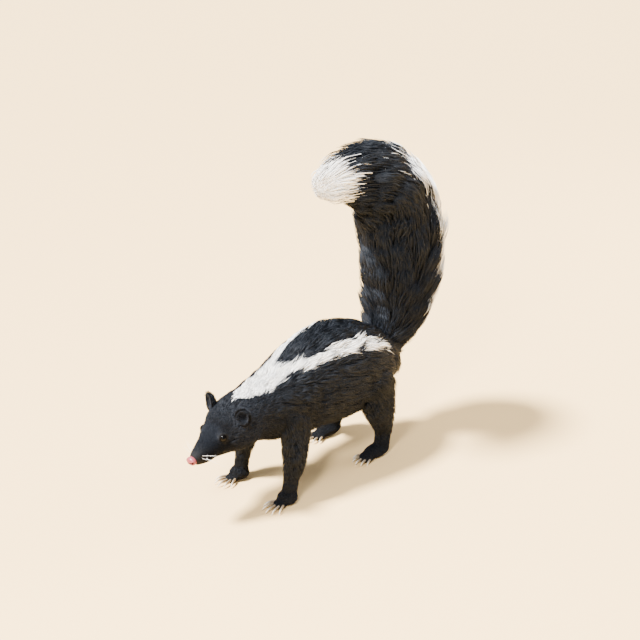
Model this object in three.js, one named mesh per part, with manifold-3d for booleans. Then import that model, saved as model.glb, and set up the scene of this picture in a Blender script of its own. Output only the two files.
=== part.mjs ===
// A striped skunk standing on four feet with its plumed tail raised and hooked forwards, at life size.
// Millimetres, +Z up, nose towards -Y, the animal's left side towards +X, soles at Z = 0.
import * as THREE from "three";
import { mergeVertices } from "three/addons/utils/BufferGeometryUtils.js";
import Module from "manifold-3d";

const wasm = await Module();
wasm.setup();

// Driving dimensions
const STANCE_LENGTH = 168; // middle of the fore soles to middle of the hind soles
const STANCE_WIDTH = 90; // middle of a left sole to middle of the right one
const NOSE_REACH = 114; // nose tip ahead of the fore soles
const NOSE_HEIGHT = 85;
const HEAD_LENGTH = 86; // nose tip to the back of the skull
const HEAD_PITCH = 21; // degrees that the head slopes down towards the nose
const BACK_HEIGHT = 196; // tips of the coat over the loin
const BELLY_HEIGHT = 61;
const TAIL_TOP = 421;
const EYE_RADIUS = 4.8;
const GAP = 0.3; // clearance between two nodes that meet

// The coat's locks: how wide and long one is and how far apart their rows are, in millimetres, and
// how thick one is at its root and how deep its tip lies, as shares of the coat's depth
const PLUME = { wide: 34, long: 88, spacing: 37, thick: 0.16, tuck: 0.04 };
const BACK_COAT = { wide: 33, long: 58, spacing: 32, thick: 0.22, tuck: 0.06 };
const NECK_COAT = { wide: 27, long: 42, spacing: 22, thick: 0.27, tuck: 0.08 };
const RUFF = { wide: 23, long: 34, spacing: 20, thick: 0.34, tuck: 0.1 };
const LEG_SHARE = 0.3; // a lock of which a leg would fill more than this is left out
const CORE_DEPTH = 0.5; // the core under the locks, as a share of the coat's depth
const LOCK_RISE = 2.7; // how early a lock leaves the core on its way to the coat's tips
const FLANK_DRIFT = 14; // degrees round the trunk that a lock on the flank droops
const ROOM_BEFORE_ROW = 5; // a length of neck, torso or tail begins this far before its first locks
const RUMP_RINGS = { sides: 20, step: 8, long: 90 };
const RUMP_ROOM = 1.5; // clearance of the tail's locks from the rump's
const LOCK_ROOM = 0.55; // clearance of one length's locks from the next length's
const DEG = Math.PI / 180;

const FLOOR_BLOCK = { wide: 400, long: 700, deep: 60 };
const LEFT_X = STANCE_WIDTH / 2;
const HIND_Y = STANCE_LENGTH;

const random = randomFrom(2399);

// Finishes
const blackFur = new THREE.MeshStandardMaterial({ color: 0x1c1a19, roughness: 0.75, metalness: 0 });
const whiteFur = new THREE.MeshStandardMaterial({ color: 0xf2efe6, roughness: 0.8, metalness: 0 });
const noseSkin = new THREE.MeshStandardMaterial({ color: 0xd98a8f, roughness: 0.45, metalness: 0 });
const eyeGloss = new THREE.MeshStandardMaterial({ color: 0x0b0908, roughness: 0.08, metalness: 0 });
const earSkin = new THREE.MeshStandardMaterial({ color: 0x24201f, roughness: 0.7, metalness: 0 });
const clawHorn = new THREE.MeshStandardMaterial({ color: 0xd8cfba, roughness: 0.4, metalness: 0 });

// A station of a body part: the middle of its section, how far the coat's tips reach to the sides,
// above and below, and how deep the coat is there.
function station(x, y, z, wide, above, below, coat) {
  return { at: new THREE.Vector3(x, y, z), reach: new THREE.Vector3(wide, above, below), coat };
}

// A body part swept along a spine through its stations. Places along it are in millimetres from its
// first station, and round it in degrees, from the left side (0) over the top (90).
class Sweep {
  constructor(stations, squareness = 2, form = () => 0) {
    const curve = (points) => new THREE.CatmullRomCurve3(points, false, "catmullrom", 0.5);
    this.centres = curve(stations.map((s) => s.at));
    this.reaches = curve(stations.map((s) => s.reach));
    this.coats = curve(stations.map((s) => new THREE.Vector3(s.coat, 0, 0)));
    this.length = this.centres.getLength();
    this.power = 2 / squareness;
    this.form = form;
  }

  // The spine's frame at a place, which runs straight on past either end.
  frame(along) {
    const distance = THREE.MathUtils.clamp(along, 0, this.length - 0.01);
    const t = this.centres.getUtoTmapping(0, distance);
    const tangent = this.centres.getTangent(t);
    const side = new THREE.Vector3(1, 0, 0).addScaledVector(tangent, -tangent.x).normalize();
    const up = new THREE.Vector3().crossVectors(side, tangent);
    const centre = this.centres.getPoint(t).addScaledVector(tangent, along - distance);
    return { t, centre, side, up };
  }

  // A point of the part at a share of the coat's depth below its tips, pushed out by grow.
  point(along, degrees, depth = 0, grow = 0) {
    const { t, centre, side, up } = this.frame(along);
    const reach = this.reaches.getPoint(t);
    const inset = depth * this.coats.getPoint(t).x - grow - this.form(along, degrees);
    const [c, s] = [Math.cos(degrees * DEG), Math.sin(degrees * DEG)];
    const bend = (v) => Math.sign(v) * Math.abs(v) ** this.power;
    return centre
      .addScaledVector(side, bend(c) * (reach.x - inset))
      .addScaledVector(up, bend(s) * ((s > 0 ? reach.y : reach.z) - inset));
  }

  // How deep the coat is at a place along the part.
  coat(along) {
    return this.coats.getPoint(this.frame(along).t).x;
  }

  // A closed solid of the part between two places along it, at a depth in the coat. Pushed out by
  // grow, on its ends too, it is what a neighbour is cut by to keep clear of it.
  solid({ from = 0, to = this.length, sides = 16, step = 12, depth = () => 0, grow = 0 }) {
    const count = Math.max(2, Math.round((to - from) / step));
    const rings = [];
    for (let i = 0; i <= count; i++) {
      const along = from + ((to - from) * i) / count;
      const pushed = along + (i === count ? grow : i === 0 ? -grow : 0);
      rings.push(
        Array.from({ length: sides }, (_, k) =>
          this.point(pushed, (360 * k) / sides, depth(along), grow),
        ),
      );
    }
    return solidOf(loft(rings));
  }
}

// Random numbers from 0 to 1 that come out the same each time.
function randomFrom(seed) {
  let state = seed;
  return () => {
    state = (state + 0x6d2b79f5) | 0;
    let mixed = Math.imul(state ^ (state >>> 15), 1 | state);
    mixed = (mixed + Math.imul(mixed ^ (mixed >>> 7), 61 | mixed)) ^ mixed;
    return ((mixed ^ (mixed >>> 14)) >>> 0) / 2 ** 32;
  };
}

// A lock of hair on a swept part: a flat, bent blade, tapering to a point, with its bulk on its inner
// side. Its root is sunk in the part's core, and it runs along the lie of the coat up to its tips.
const LOCK_ROWS = [0, 0.27, 0.54, 0.8]; // places of its sections, as shares of its length
const ROOT_DEPTH = 0.86; // share of the coat's depth
const SLANT = 4; // degrees that a blade's edges are pushed out by, for each millimetre of grow
const TIP_SLANT = 3; // millimetres that its tip is pushed on by, for each millimetre of grow
function lockSolid(sweep, { along, degrees, drift, long, wide, thick, tip }, grow = 0) {
  const place = (v, aside = 0) =>
    sweep.point(
      along + long * v,
      degrees + drift * v + aside,
      tip + (ROOT_DEPTH - tip) * Math.max(0, 1 - v) ** LOCK_RISE,
      grow,
    );
  const points = [];
  for (const v of LOCK_ROWS) {
    const taper = (0.86 + 0.14 * Math.sin(Math.PI * v)) * (1 - v ** 3.6);
    const halfWide = (wide / 2) * taper + SLANT * grow;
    const [left, right] = [place(v, halfWide), place(v, -halfWide)];
    const ahead = place(v + 0.05).sub(place(v - 0.05));
    const inward = ahead.cross(right.clone().sub(left)).normalize();
    const bulk = left.clone().add(right).multiplyScalar(0.5);
    points.push(left, right, bulk.addScaledVector(inward, thick * (1 - 0.5 * v) + 2 * grow));
  }
  points.push(place(1 + (TIP_SLANT * grow) / long));
  const index = [0, 1, 2];
  const end = points.length - 1;
  for (let k = 0; k < 3; k++) {
    const next = (k + 1) % 3;
    for (let row = 0; row + 1 < LOCK_ROWS.length; row++) {
      const [a, b] = [row * 3 + k, row * 3 + next];
      index.push(a, a + 3, b, b, a + 3, b + 3);
    }
    index.push(end - 3 + k, end, end - 3 + next);
  }
  return solidOf(new THREE.BufferGeometry().setFromPoints(points).setIndex(index));
}

// A row of locks side by side round a swept part, out of step with the row before. lie gives how
// far round, in degrees, a lock drifts on its way, and end is about where it has to end.
function lockRow(sweep, coat, along, row, { lie = () => 0, end = sweep.length } = {}) {
  const [left, top, right, bottom] = [0, 90, 180, 270].map((d) => sweep.point(along, d));
  const girth = (Math.PI / 2) * (left.distanceTo(right) + top.distanceTo(bottom));
  const count = Math.max(6, Math.round(girth / coat.wide));
  const start = along + 0.1 * coat.spacing * (random() - 0.5);
  const turn = 360 / count;
  return Array.from({ length: count }, (_, k) => {
    const degrees = ((k + (row % 2) / 2) * turn) % 360;
    return {
      along: start,
      degrees,
      drift: lie(degrees) + 0.06 * turn * (random() - 0.5),
      long: Math.min(coat.long * (0.86 + 0.28 * random()), end - start + 6 * random()),
      wide: turn * (0.88 + 0.08 * random()),
      thick: coat.thick * sweep.coat(start),
      tip: coat.tuck + 0.06 * (random() - 0.5),
    };
  });
}

// Rows of locks from one place along a swept part until another.
function lockRows(sweep, coat, from, until, lie) {
  const rows = Math.ceil((until - from) / coat.spacing);
  return Array.from({ length: rows }, (_, row) =>
    lockRow(sweep, coat, from + row * coat.spacing, row, { lie }),
  ).flat();
}

// A skin over rings of points, closed at both ends over each end ring's middle. Its quads are split
// so that the left half of a ring and the right one give mirror images.
function loft(rings) {
  const sides = rings[0].length;
  const middle = (ring) =>
    ring.reduce((sum, p) => sum.add(p), new THREE.Vector3()).divideScalar(sides);
  const points = [...rings.flat(), middle(rings[0]), middle(rings[rings.length - 1])];
  const first = points.length - 2;
  const last = points.length - 1;
  const index = [];
  for (let k = 0; k < sides; k++) {
    const next = (k + 1) % sides;
    const onLeft = Math.cos((2 * Math.PI * (k + 0.5)) / sides) > 0;
    index.push(first, next, k);
    for (let r = 0; r + 1 < rings.length; r++) {
      const [a, b] = [r * sides + k, r * sides + next];
      const [c, d] = onLeft ? [a + sides, b] : [b + sides, a];
      index.push(a, b, c, d, b + sides, a + sides);
    }
    const end = (rings.length - 1) * sides;
    index.push(last, end + k, end + next);
  }
  return new THREE.BufferGeometry().setFromPoints(points).setIndex(index);
}

// A three.js geometry as a solid that can be joined and cut.
function solidOf(geometry) {
  const bare = geometry.clone();
  bare.deleteAttribute("normal");
  bare.deleteAttribute("uv");
  const merged = mergeVertices(bare, 1e-3);
  const made = new wasm.Manifold(
    new wasm.Mesh({
      numProp: 3,
      vertProperties: merged.attributes.position.array,
      triVerts: new Uint32Array(merged.index.array),
    }),
  );
  if (made.volume() >= 0) return made;
  const turned = new Uint32Array(merged.index.array);
  for (let i = 0; i < turned.length; i += 3) [turned[i], turned[i + 1]] = [turned[i + 1], turned[i]];
  return new wasm.Manifold(
    new wasm.Mesh({
      numProp: 3,
      vertProperties: merged.attributes.position.array,
      triVerts: turned,
    }),
  );
}

// An ellipsoid with its half-sizes along X, Y and Z, turned and then set at a place.
function ellipsoid(place, halves, { turn = new THREE.Euler(), sides = 12, rows = 8, grow = 0 } = {}) {
  const sizes = halves.map((h) => h + grow);
  const geometry = new THREE.SphereGeometry(1, sides, rows);
  const matrix = new THREE.Matrix4().compose(
    place,
    new THREE.Quaternion().setFromEuler(turn),
    new THREE.Vector3(...sizes),
  );
  return solidOf(geometry.applyMatrix4(matrix));
}

// A tapering tube along a curve, with its radius given as a function of the share along it.
function taperedTube(curve, radius, { rows = 4, sides = 6, flat = 1 } = {}) {
  const rings = [];
  for (let i = 0; i <= rows; i++) {
    const share = i / rows;
    const centre = curve.getPoint(share);
    const tangent = curve.getTangent(share);
    const side = new THREE.Vector3().crossVectors(tangent, new THREE.Vector3(0, 0, 1)).normalize();
    const up = new THREE.Vector3().crossVectors(side, tangent);
    const r = radius(share);
    rings.push(
      Array.from({ length: sides }, (_, k) => {
        const a = (2 * Math.PI * k) / sides;
        return centre
          .clone()
          .addScaledVector(side, Math.cos(a) * r * flat)
          .addScaledVector(up, Math.sin(a) * r);
      }),
    );
  }
  return solidOf(loft(rings));
}

// A solid's mirror image in the middle plane.
function mirroredSolid(solid) {
  const { vertProperties, triVerts } = solid.getMesh();
  const geometry = new THREE.BufferGeometry()
    .setAttribute("position", new THREE.BufferAttribute(vertProperties, 3))
    .setIndex(new THREE.BufferAttribute(triVerts, 1));
  return solidOf(geometry.scale(-1, 1, 1));
}

const unite = (solids) => solids.reduce((all, one) => all.add(one));
const clear = (solid, others) => others.reduce((left, one) => left.subtract(one), solid);

// The largest closed surface of a solid as a named mesh.
function nodeMesh(name, solid, material) {
  const pieces = solid.decompose().sort((a, b) => b.volume() - a.volume());
  const { vertProperties, triVerts } = pieces[0].getMesh();
  const geometry = new THREE.BufferGeometry()
    .setAttribute("position", new THREE.BufferAttribute(vertProperties, 3))
    .setIndex(new THREE.BufferAttribute(triVerts, 1));
  geometry.computeVertexNormals();
  const mesh = new THREE.Mesh(geometry, material);
  mesh.name = name;
  return mesh;
}

// The trunk: one sweep from the nose to the rump, which the head, neck and torso are lengths of.
const headSlope = [Math.cos(HEAD_PITCH * DEG), Math.sin(HEAD_PITCH * DEG)];
const onHead = (back) => [
  0,
  -NOSE_REACH + back * headSlope[0],
  NOSE_HEIGHT + back * headSlope[1],
];
const BODY_MIDDLE = (BACK_HEIGHT + BELLY_HEIGHT) / 2;
const BODY_HALF = (BACK_HEIGHT - BELLY_HEIGHT) / 2;
const TRUNK_STATIONS = [
  station(...onHead(2.5), 5.5, 5, 5.5, 1),
  station(...onHead(10), 11, 9.5, 9.5, 1.5),
  station(...onHead(20), 14.5, 12.5, 13, 2),
  station(...onHead(31), 18.5, 16.5, 16.5, 2.5),
  station(...onHead(43), 25, 23, 21, 3.5),
  station(...onHead(57), 32, 29, 26.5, 5),
  station(...onHead(72), 37.5, 32.5, 31.5, 7),
  station(...onHead(HEAD_LENGTH), 38.5, 33.5, 35, 9),
  station(0, -8, 118, 40, 35.5, 41, 11),
  station(0, 20, 118, 46, 42, 46, 13),
  station(0, 50, 120, 53, 54, 55, 16),
  station(0, 88, 125, 58, 64, 62, 18),
  station(0, 126, BODY_MIDDLE, 61, BODY_HALF, BODY_HALF, 20),
  station(0, 160, 127, 62, 62, 61, 22),
  station(0, 190, 122, 55, 51, 51, 22),
  station(0, 213, 118, 42, 37, 38, 19),
  station(0, 229, 115, 26, 22, 23, 12),
  station(0, 240, 112, 9, 8, 8, 4),
];

// Soft swellings and hollows of the head, each at a place back from the nose and round it, on both
// sides: whisker pad, eye hollow, brow, cheek and forehead.
const HEAD_FORMS = [
  { back: 14, degrees: -28, rise: 1.8, long: 8, round: 26 },
  { back: 41, degrees: 30, rise: -1.8, long: 8, round: 18 },
  { back: 49, degrees: 58, rise: 1.6, long: 10, round: 16 },
  { back: 66, degrees: -14, rise: 3, long: 15, round: 32 },
  { back: 38, degrees: 90, rise: -0.9, long: 9, round: 30 },
];
function headForm(along, degrees) {
  const fold = degrees > 90 && degrees < 270 ? 180 - degrees : degrees > 180 ? degrees - 360 : degrees;
  return HEAD_FORMS.reduce((sum, f) => {
    const back = (along - f.back) / f.long;
    const round = (fold - f.degrees) / f.round;
    return sum + f.rise * Math.exp(-(back * back + round * round));
  }, 0);
}
const trunk = new Sweep(TRUNK_STATIONS, 2.15, headForm);

const CHEEK = 58; // the ruff behind the cheeks grows from here, this far back from the nose
const NAPE = HEAD_LENGTH; // the head meets the neck
const COLLAR = 130; // the neck meets the torso

// The head's own frame: back from the nose along it, out to the left, and up from its axis.
function headPlace(back, out, up) {
  const [, y, z] = onHead(back);
  return new THREE.Vector3(out, y - up * headSlope[1], z + up * headSlope[0]);
}
const HEAD_TURN = new THREE.Euler(-HEAD_PITCH * DEG, 0, 0);
const mirrored = (p) => new THREE.Vector3(-p.x, p.y, p.z);

// Eyes: a ball in a socket under a raised rim of lid, at a place back from the nose and round it
const EYE = { back: 44, degrees: 34, inset: 3.4, face: [0.82, -0.47, 0.32] };
const onTrunk = (back) => back - 2.5; // the trunk's first station is this far behind the nose tip
const EYE_AT = trunk.point(onTrunk(EYE.back), EYE.degrees, 0, -EYE.inset);
const eyeSolid = (place, grow = 0) =>
  ellipsoid(place, [EYE_RADIUS, EYE_RADIUS, EYE_RADIUS], { sides: 12, rows: 7, grow });
function lidSolid(sign) {
  const rim = new THREE.TorusGeometry(EYE_RADIUS * 0.94, 1.3, 4, 12).scale(1.1, 0.84, 1);
  const face = new THREE.Vector3(EYE.face[0] * sign, EYE.face[1], EYE.face[2]).normalize();
  rim.applyQuaternion(new THREE.Quaternion().setFromUnitVectors(new THREE.Vector3(0, 0, 1), face));
  const seat = sign > 0 ? EYE_AT.clone() : mirrored(EYE_AT);
  seat.addScaledVector(face, EYE_RADIUS * 0.55);
  return solidOf(rim.translate(seat.x, seat.y, seat.z));
}

// Mouth: a raised band of lip on each side, from under the nose back to the corner, parted by a line
const MOUTH = { front: 7.5, corner: 37, low: -74, high: -24, sweep: 0.7, steps: 5 };
const LIPS = { radius: 2.6, thin: 0.45, proud: -0.8, sides: 6 };
const MOUTH_LINE = { radius: 1.15, thin: 0.3, proud: 1.3, sides: 4 };
function mouthCurve(sign, proud) {
  const points = [];
  for (let i = 0; i <= MOUTH.steps; i++) {
    const share = i / MOUTH.steps;
    const back = MOUTH.front + (MOUTH.corner - MOUTH.front) * share;
    const degrees = MOUTH.low + (MOUTH.high - MOUTH.low) * share ** MOUTH.sweep;
    const p = trunk.point(onTrunk(back), degrees, 0, proud);
    points.push(sign > 0 ? p : mirrored(p));
  }
  return new THREE.CatmullRomCurve3(points);
}
const mouthTube = (sign, { radius, thin, proud, sides }) =>
  taperedTube(mouthCurve(sign, proud), (v) => radius * (1 - thin * v), { rows: MOUTH.steps, sides });
const lipSolid = (sign) => mouthTube(sign, LIPS);
const mouthLine = (sign) => mouthTube(sign, MOUTH_LINE);

// Nose pad: a rounded pad with two comma-shaped nostrils and a groove down its middle
const NOSE_AT = headPlace(3.2, 0, 1.2);
const nosePad = (grow = 0) =>
  ellipsoid(NOSE_AT, [6.8, 5, 5.2], { turn: HEAD_TURN, sides: 12, rows: 7, grow });
function nostril(sign) {
  const curve = new THREE.QuadraticBezierCurve3(
    headPlace(-4, sign * 2.3, 0.6),
    headPlace(0.6, sign * 3.2, 0.9),
    headPlace(3, sign * 7.6, 1.8),
  );
  return taperedTube(curve, (v) => 1.55 - 0.6 * v, { rows: 3, sides: 5 });
}
function philtrum() {
  const curve = new THREE.LineCurve3(headPlace(-2.6, 0, -0.4), headPlace(2.5, 0, -6));
  return taperedTube(curve, () => 0.6, { rows: 1, sides: 4 });
}

// Ears: a rounded cup, open to the front and side
const EAR = { back: 74, degrees: 43, out: 3.5, halves: [11, 5, 12.5], wall: 1.9, open: 3.6 };
const EAR_AT = trunk.point(onTrunk(EAR.back), EAR.degrees, 0, EAR.out);
const EAR_TURN = new THREE.Euler(-12 * DEG, 34 * DEG, 34 * DEG);
function earSolid() {
  const forward = new THREE.Vector3(0, -1, 0).applyEuler(EAR_TURN);
  const shell = ellipsoid(EAR_AT, EAR.halves, { turn: EAR_TURN, sides: 12, rows: 8 });
  const hollow = EAR_AT.clone().addScaledVector(forward, EAR.open);
  const [wide, , tall] = EAR.halves;
  const cup = ellipsoid(hollow, [wide - EAR.wall, EAR.halves[1], tall - EAR.wall], {
    turn: EAR_TURN,
    sides: 10,
    rows: 6,
  });
  return shell.subtract(cup);
}

// Legs of the left side, from inside the body down to the ankle
const foreleg = new Sweep([
  station(LEFT_X - 22, 33, 124, 9, 12, 12, 4),
  station(LEFT_X - 10, 25, 99, 17, 21, 19, 6),
  station(LEFT_X - 4, 18, 74, 17, 19, 17, 7),
  station(LEFT_X, 12, 50, 14, 14, 13, 5),
  station(LEFT_X, 8, 32, 12, 11, 11, 4),
  station(LEFT_X, 5, 14, 11.5, 10, 11, 3),
]);
const hindleg = new Sweep([
  station(LEFT_X - 21, HIND_Y + 4, 128, 11, 18, 19, 5),
  station(LEFT_X - 7, HIND_Y + 4, 100, 20, 29, 30, 9),
  station(LEFT_X - 1, HIND_Y + 6, 74, 20, 24, 27, 9),
  station(LEFT_X, HIND_Y + 12, 50, 15, 16, 18, 6),
  station(LEFT_X, HIND_Y + 16, 32, 12.5, 12.5, 14, 4),
  station(LEFT_X, HIND_Y + 14, 13, 12, 12, 14, 3),
]);

const LEG_RINGS = { sides: 10, step: 14 };

// A foot: a palm and five toes, cut flat along the floor, with a claw ahead of each toe
const FORE_FOOT = {
  name: "fore",
  palm: { at: [LEFT_X, 1, 7.5], halves: [14.5, 15.5, 10] },
  toe: { halves: [3.7, 8.2, 4.6], reach: 17, spread: 13.5, high: 4.2 },
  claw: { long: 13, thick: 1.9 },
};
const HIND_FOOT = {
  name: "hind",
  palm: { at: [LEFT_X, HIND_Y + 2, 7], halves: [14, 26, 9.5] },
  toe: { halves: [3.8, 8, 4.6], reach: 26, spread: 11, high: 4.2 },
  claw: { long: 8, thick: 1.8 },
};
const TOES = [-2, -1, 0, 1, 2];
// How far a toe stands back from the middle one: the outer toes, and the inner one most of all
const TOE_BACK = { "-2": 6.5, "-1": 1.5, 0: 0, 1: 1.2, 2: 5 };

function toePlace(foot, toe) {
  const turn = foot.toe.spread * toe * DEG;
  const reach = foot.toe.reach - TOE_BACK[toe];
  return {
    turn,
    at: new THREE.Vector3(
      foot.palm.at[0] + Math.sin(turn) * reach,
      foot.palm.at[1] - Math.cos(turn) * reach,
      foot.toe.high,
    ),
  };
}
const toeSolid = (foot, toe, grow = 0) => {
  const { turn, at } = toePlace(foot, toe);
  return ellipsoid(at, foot.toe.halves, {
    turn: new THREE.Euler(0, 0, turn),
    sides: 6,
    rows: 4,
    grow,
  });
};
const floorBlock = solidOf(
  new THREE.BoxGeometry(FLOOR_BLOCK.wide, FLOOR_BLOCK.long, FLOOR_BLOCK.deep).translate(
    0,
    HIND_Y / 2,
    -FLOOR_BLOCK.deep / 2,
  ),
);
const palmSolid = (foot, grow = 0) =>
  ellipsoid(new THREE.Vector3(...foot.palm.at), foot.palm.halves, { sides: 9, rows: 5, grow });
function footSolid(foot, leg, grow = 0) {
  const pieces = [palmSolid(foot, grow), ...TOES.map((toe) => toeSolid(foot, toe, grow))];
  return clear(unite(pieces), [leg.solid({ ...LEG_RINGS, grow: GAP }), floorBlock]);
}

// A claw: a horn cone that leaves the top of the toe's end and curves down to just above the floor
const CLAW_CLEAR = 1.1;
function clawSolid(foot, toe, socket) {
  const { turn, at } = toePlace(foot, toe);
  const ahead = new THREE.Vector3(Math.sin(turn), -Math.cos(turn), 0);
  const along = (distance, z) => at.clone().addScaledVector(ahead, distance).setZ(z);
  const start = foot.toe.halves[1];
  const end = start + foot.claw.long;
  const curve = new THREE.CubicBezierCurve3(
    along(start - 3.4, 5.2),
    along(start + foot.claw.long * 0.35, 6.6),
    along(start + foot.claw.long * 0.75, 4.6),
    along(end, CLAW_CLEAR),
  );
  const radius = (v) => foot.claw.thick * (1 - 0.8 * v ** 1.6);
  const horn = taperedTube(curve, radius, { rows: 3, sides: 4, flat: 0.8 });
  return horn.subtract(socket);
}

// The tail: a sweep from inside the rump, up and over to its tip
const tail = new Sweep([
  station(0, 212, 128, 16, 16, 16, 6),
  station(0, 233, 147, 36, 27, 35, 17),
  station(0, 250, 174, 48, 42, 49, 30),
  station(0, 259, 208, 54, 52, 58, 40),
  station(0, 262, 248, 57, 56, 66, 45),
  station(0, 258, 288, 58, 54, 69, 46),
  station(0, 246, 325, 57, 49, 65, 45),
  station(0, 221, 356, 54, 45, 57, 42),
  station(0, 187, 374, 49, 42, TAIL_TOP - 374, 37),
  station(0, 153, 380, 42, 38, 39, 31),
  station(0, 124, 379, 30, 29, 28, 22),
  station(0, 104, 375, 9, 9, 9, 7),
]);
// The tail's lengths, each with its rows of locks and how far these may reach over the next length.
// Each begins just before its own first row. Little of the black hair reaches over the white tip.
const TAIL_LENGTHS = [
  { name: "tail_root", rows: 3, overhang: 90, fur: blackFur },
  { name: "tail_middle", rows: 3, overhang: 90, fur: blackFur },
  { name: "tail_bend", rows: 2, overhang: 12, fur: blackFur },
  { name: "tail_tip", rows: 2, overhang: 0, fur: whiteFur },
];
const FIRST_PLUME_ROW = 30;

const skunk = new THREE.Group();
function add(name, solid, material) {
  const mesh = nodeMesh(name, solid, material);
  skunk.add(mesh);
  return mesh;
}
// A solid of the left side and its mirror image. nameOf gives the name for a side.
function addPair(nameOf, solid, material) {
  add(nameOf("left"), solid, material);
  add(nameOf("right"), solid, material).scale.x = -1;
}

// The lengths of the trunk and the tail, each with the rings of its core
const core = { depth: () => CORE_DEPTH, sides: 12, step: 26 };
const napeDepth = (along) => CORE_DEPTH * THREE.MathUtils.smoothstep(along, CHEEK, NAPE - 6);
const HEAD_RINGS = { to: NAPE - GAP / 2, sides: 20, step: 5.5, depth: napeDepth };
const NECK_RINGS = { ...core, from: NAPE + GAP / 2, to: COLLAR - GAP / 2 };
const TORSO_RINGS = { ...core, from: COLLAR + GAP / 2 };
const tailStart = (row) => FIRST_PLUME_ROW + row * PLUME.spacing;
const tailLengths = TAIL_LENGTHS.map(({ name, rows, overhang, fur }, i) => {
  const firstRow = TAIL_LENGTHS.slice(0, i).reduce((sum, length) => sum + length.rows, 0);
  const from = i ? tailStart(firstRow) - ROOM_BEFORE_ROW + GAP / 2 : 0;
  const last = i + 1 === TAIL_LENGTHS.length;
  const to = last ? tail.length : tailStart(firstRow + rows) - ROOM_BEFORE_ROW - GAP / 2;
  const locks = Array.from({ length: rows }, (_, k) =>
    lockRow(tail, PLUME, tailStart(firstRow + k), firstRow + k, { end: to + overhang }),
  ).flat();
  return { name, fur, rings: { ...core, from, to }, locks };
});

// A length of a part: its core, cut clear of some solids, and its locks, cut clear of others
function coated(sweep, rings, locks, { besideCore = [], besideLocks = [] }) {
  const hair = unite(locks.map((lock) => lockSolid(sweep, lock)));
  return clear(sweep.solid(rings), besideCore).add(clear(hair, besideLocks));
}
const withRoom = (sweep, rings) => sweep.solid({ ...rings, grow: GAP });
const neckRoom = withRoom(trunk, NECK_RINGS);
const torsoRoom = withRoom(trunk, TORSO_RINGS);
const tailRoom = withRoom(tail, tailLengths[0].rings);
const bothSides = (solid) => [solid, mirroredSolid(solid)];

// Head
const eyes = [EYE_AT, mirrored(EYE_AT)];
const ruff = lockRow(trunk, RUFF, CHEEK, 0)
  .map((lock) => lockSolid(trunk, lock))
  .filter((lock) => bothSides(earSolid()).every((ear) => lock.intersect(ear).isEmpty()));
const skull = unite([
  trunk.solid(HEAD_RINGS),
  ...[1, -1].map(lidSolid),
  ...[1, -1].map(lipSolid),
  ...ruff,
]);
const eyeRooms = eyes.map((place) => eyeSolid(place, GAP));
add("head", clear(skull, [...[1, -1].map(mouthLine), ...eyeRooms, nosePad(GAP), neckRoom]), blackFur);
add("nose_pad", clear(nosePad(), [...[1, -1].map(nostril), philtrum()]), noseSkin);
addPair((side) => `eye_${side}`, eyeSolid(EYE_AT), eyeGloss);
addPair((side) => `ear_${side}`, earSolid().subtract(withRoom(trunk, HEAD_RINGS)), earSkin);

// Neck and torso. Their coat lies rearwards, and down over the flanks. Locks that a leg would mostly
// fill are left out, and the rest are cut clear of the legs and the tail.
function flankLie(degrees) {
  const side = degrees > 90 && degrees < 270 ? 1 : -1;
  return FLANK_DRIFT * side * Math.abs(Math.cos(degrees * DEG));
}
const legRooms = [foreleg, hindleg].flatMap((leg) => bothSides(withRoom(leg, LEG_RINGS)));
const legsOutside = legRooms.map((leg) => clear(leg, [neckRoom, torsoRoom]));
const besideLegs = (locks) =>
  locks.filter((lock) => {
    const hair = lockSolid(trunk, lock);
    return legsOutside.every((leg) => hair.intersect(leg).volume() < LEG_SHARE * hair.volume());
  });
const neckLocks = lockRows(trunk, NECK_COAT, NAPE + ROOM_BEFORE_ROW, COLLAR - 14, flankLie);
const torsoLocks = lockRows(trunk, BACK_COAT, COLLAR + ROOM_BEFORE_ROW, trunk.length - 40, flankLie);
const neck = coated(trunk, NECK_RINGS, besideLegs(neckLocks), {
  besideLocks: [torsoRoom, ...legRooms],
});
add("neck", neck, blackFur);
const torso = coated(trunk, TORSO_RINGS, besideLegs(torsoLocks), {
  besideLocks: [tailRoom, ...legRooms],
});
add("torso", torso, blackFur);

// Legs, feet and claws
for (const [foot, leg] of [
  [FORE_FOOT, foreleg],
  [HIND_FOOT, hindleg],
]) {
  const legSolid = clear(leg.solid(LEG_RINGS), [neckRoom, torsoRoom]);
  addPair((side) => `${foot.name}leg_${side}`, legSolid, blackFur);
  addPair((side) => `${foot.name}paw_${side}`, footSolid(foot, leg), blackFur);
  const socket = footSolid(foot, leg, GAP);
  TOES.forEach((toe, i) => {
    addPair((side) => `${foot.name}claw_${side}_${i + 1}`, clawSolid(foot, toe, socket), clawHorn);
  });
}

// Tail: its first length is cut clear of the rump, and each length of the one after it
const rump = trunk.solid({ ...RUMP_RINGS, from: trunk.length - RUMP_RINGS.long, grow: RUMP_ROOM });
tailLengths.forEach(({ name, fur, rings, locks }, i) => {
  const next = tailLengths[i + 1];
  const beyond = next
    ? [withRoom(tail, next.rings), ...next.locks.map((lock) => lockSolid(tail, lock, LOCK_ROOM))]
    : [];
  const cut = i ? {} : { besideCore: [torsoRoom], besideLocks: [rump] };
  add(name, clear(coated(tail, rings, locks, cut), beyond), fur);
});

// The origin is on the floor, under the middle of the whole animal
skunk.updateMatrixWorld(true);
const reach = new THREE.Box3().setFromObject(skunk, true);
skunk.position.set(-(reach.min.x + reach.max.x) / 2, -(reach.min.y + reach.max.y) / 2, -reach.min.z);

export default skunk;
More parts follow.
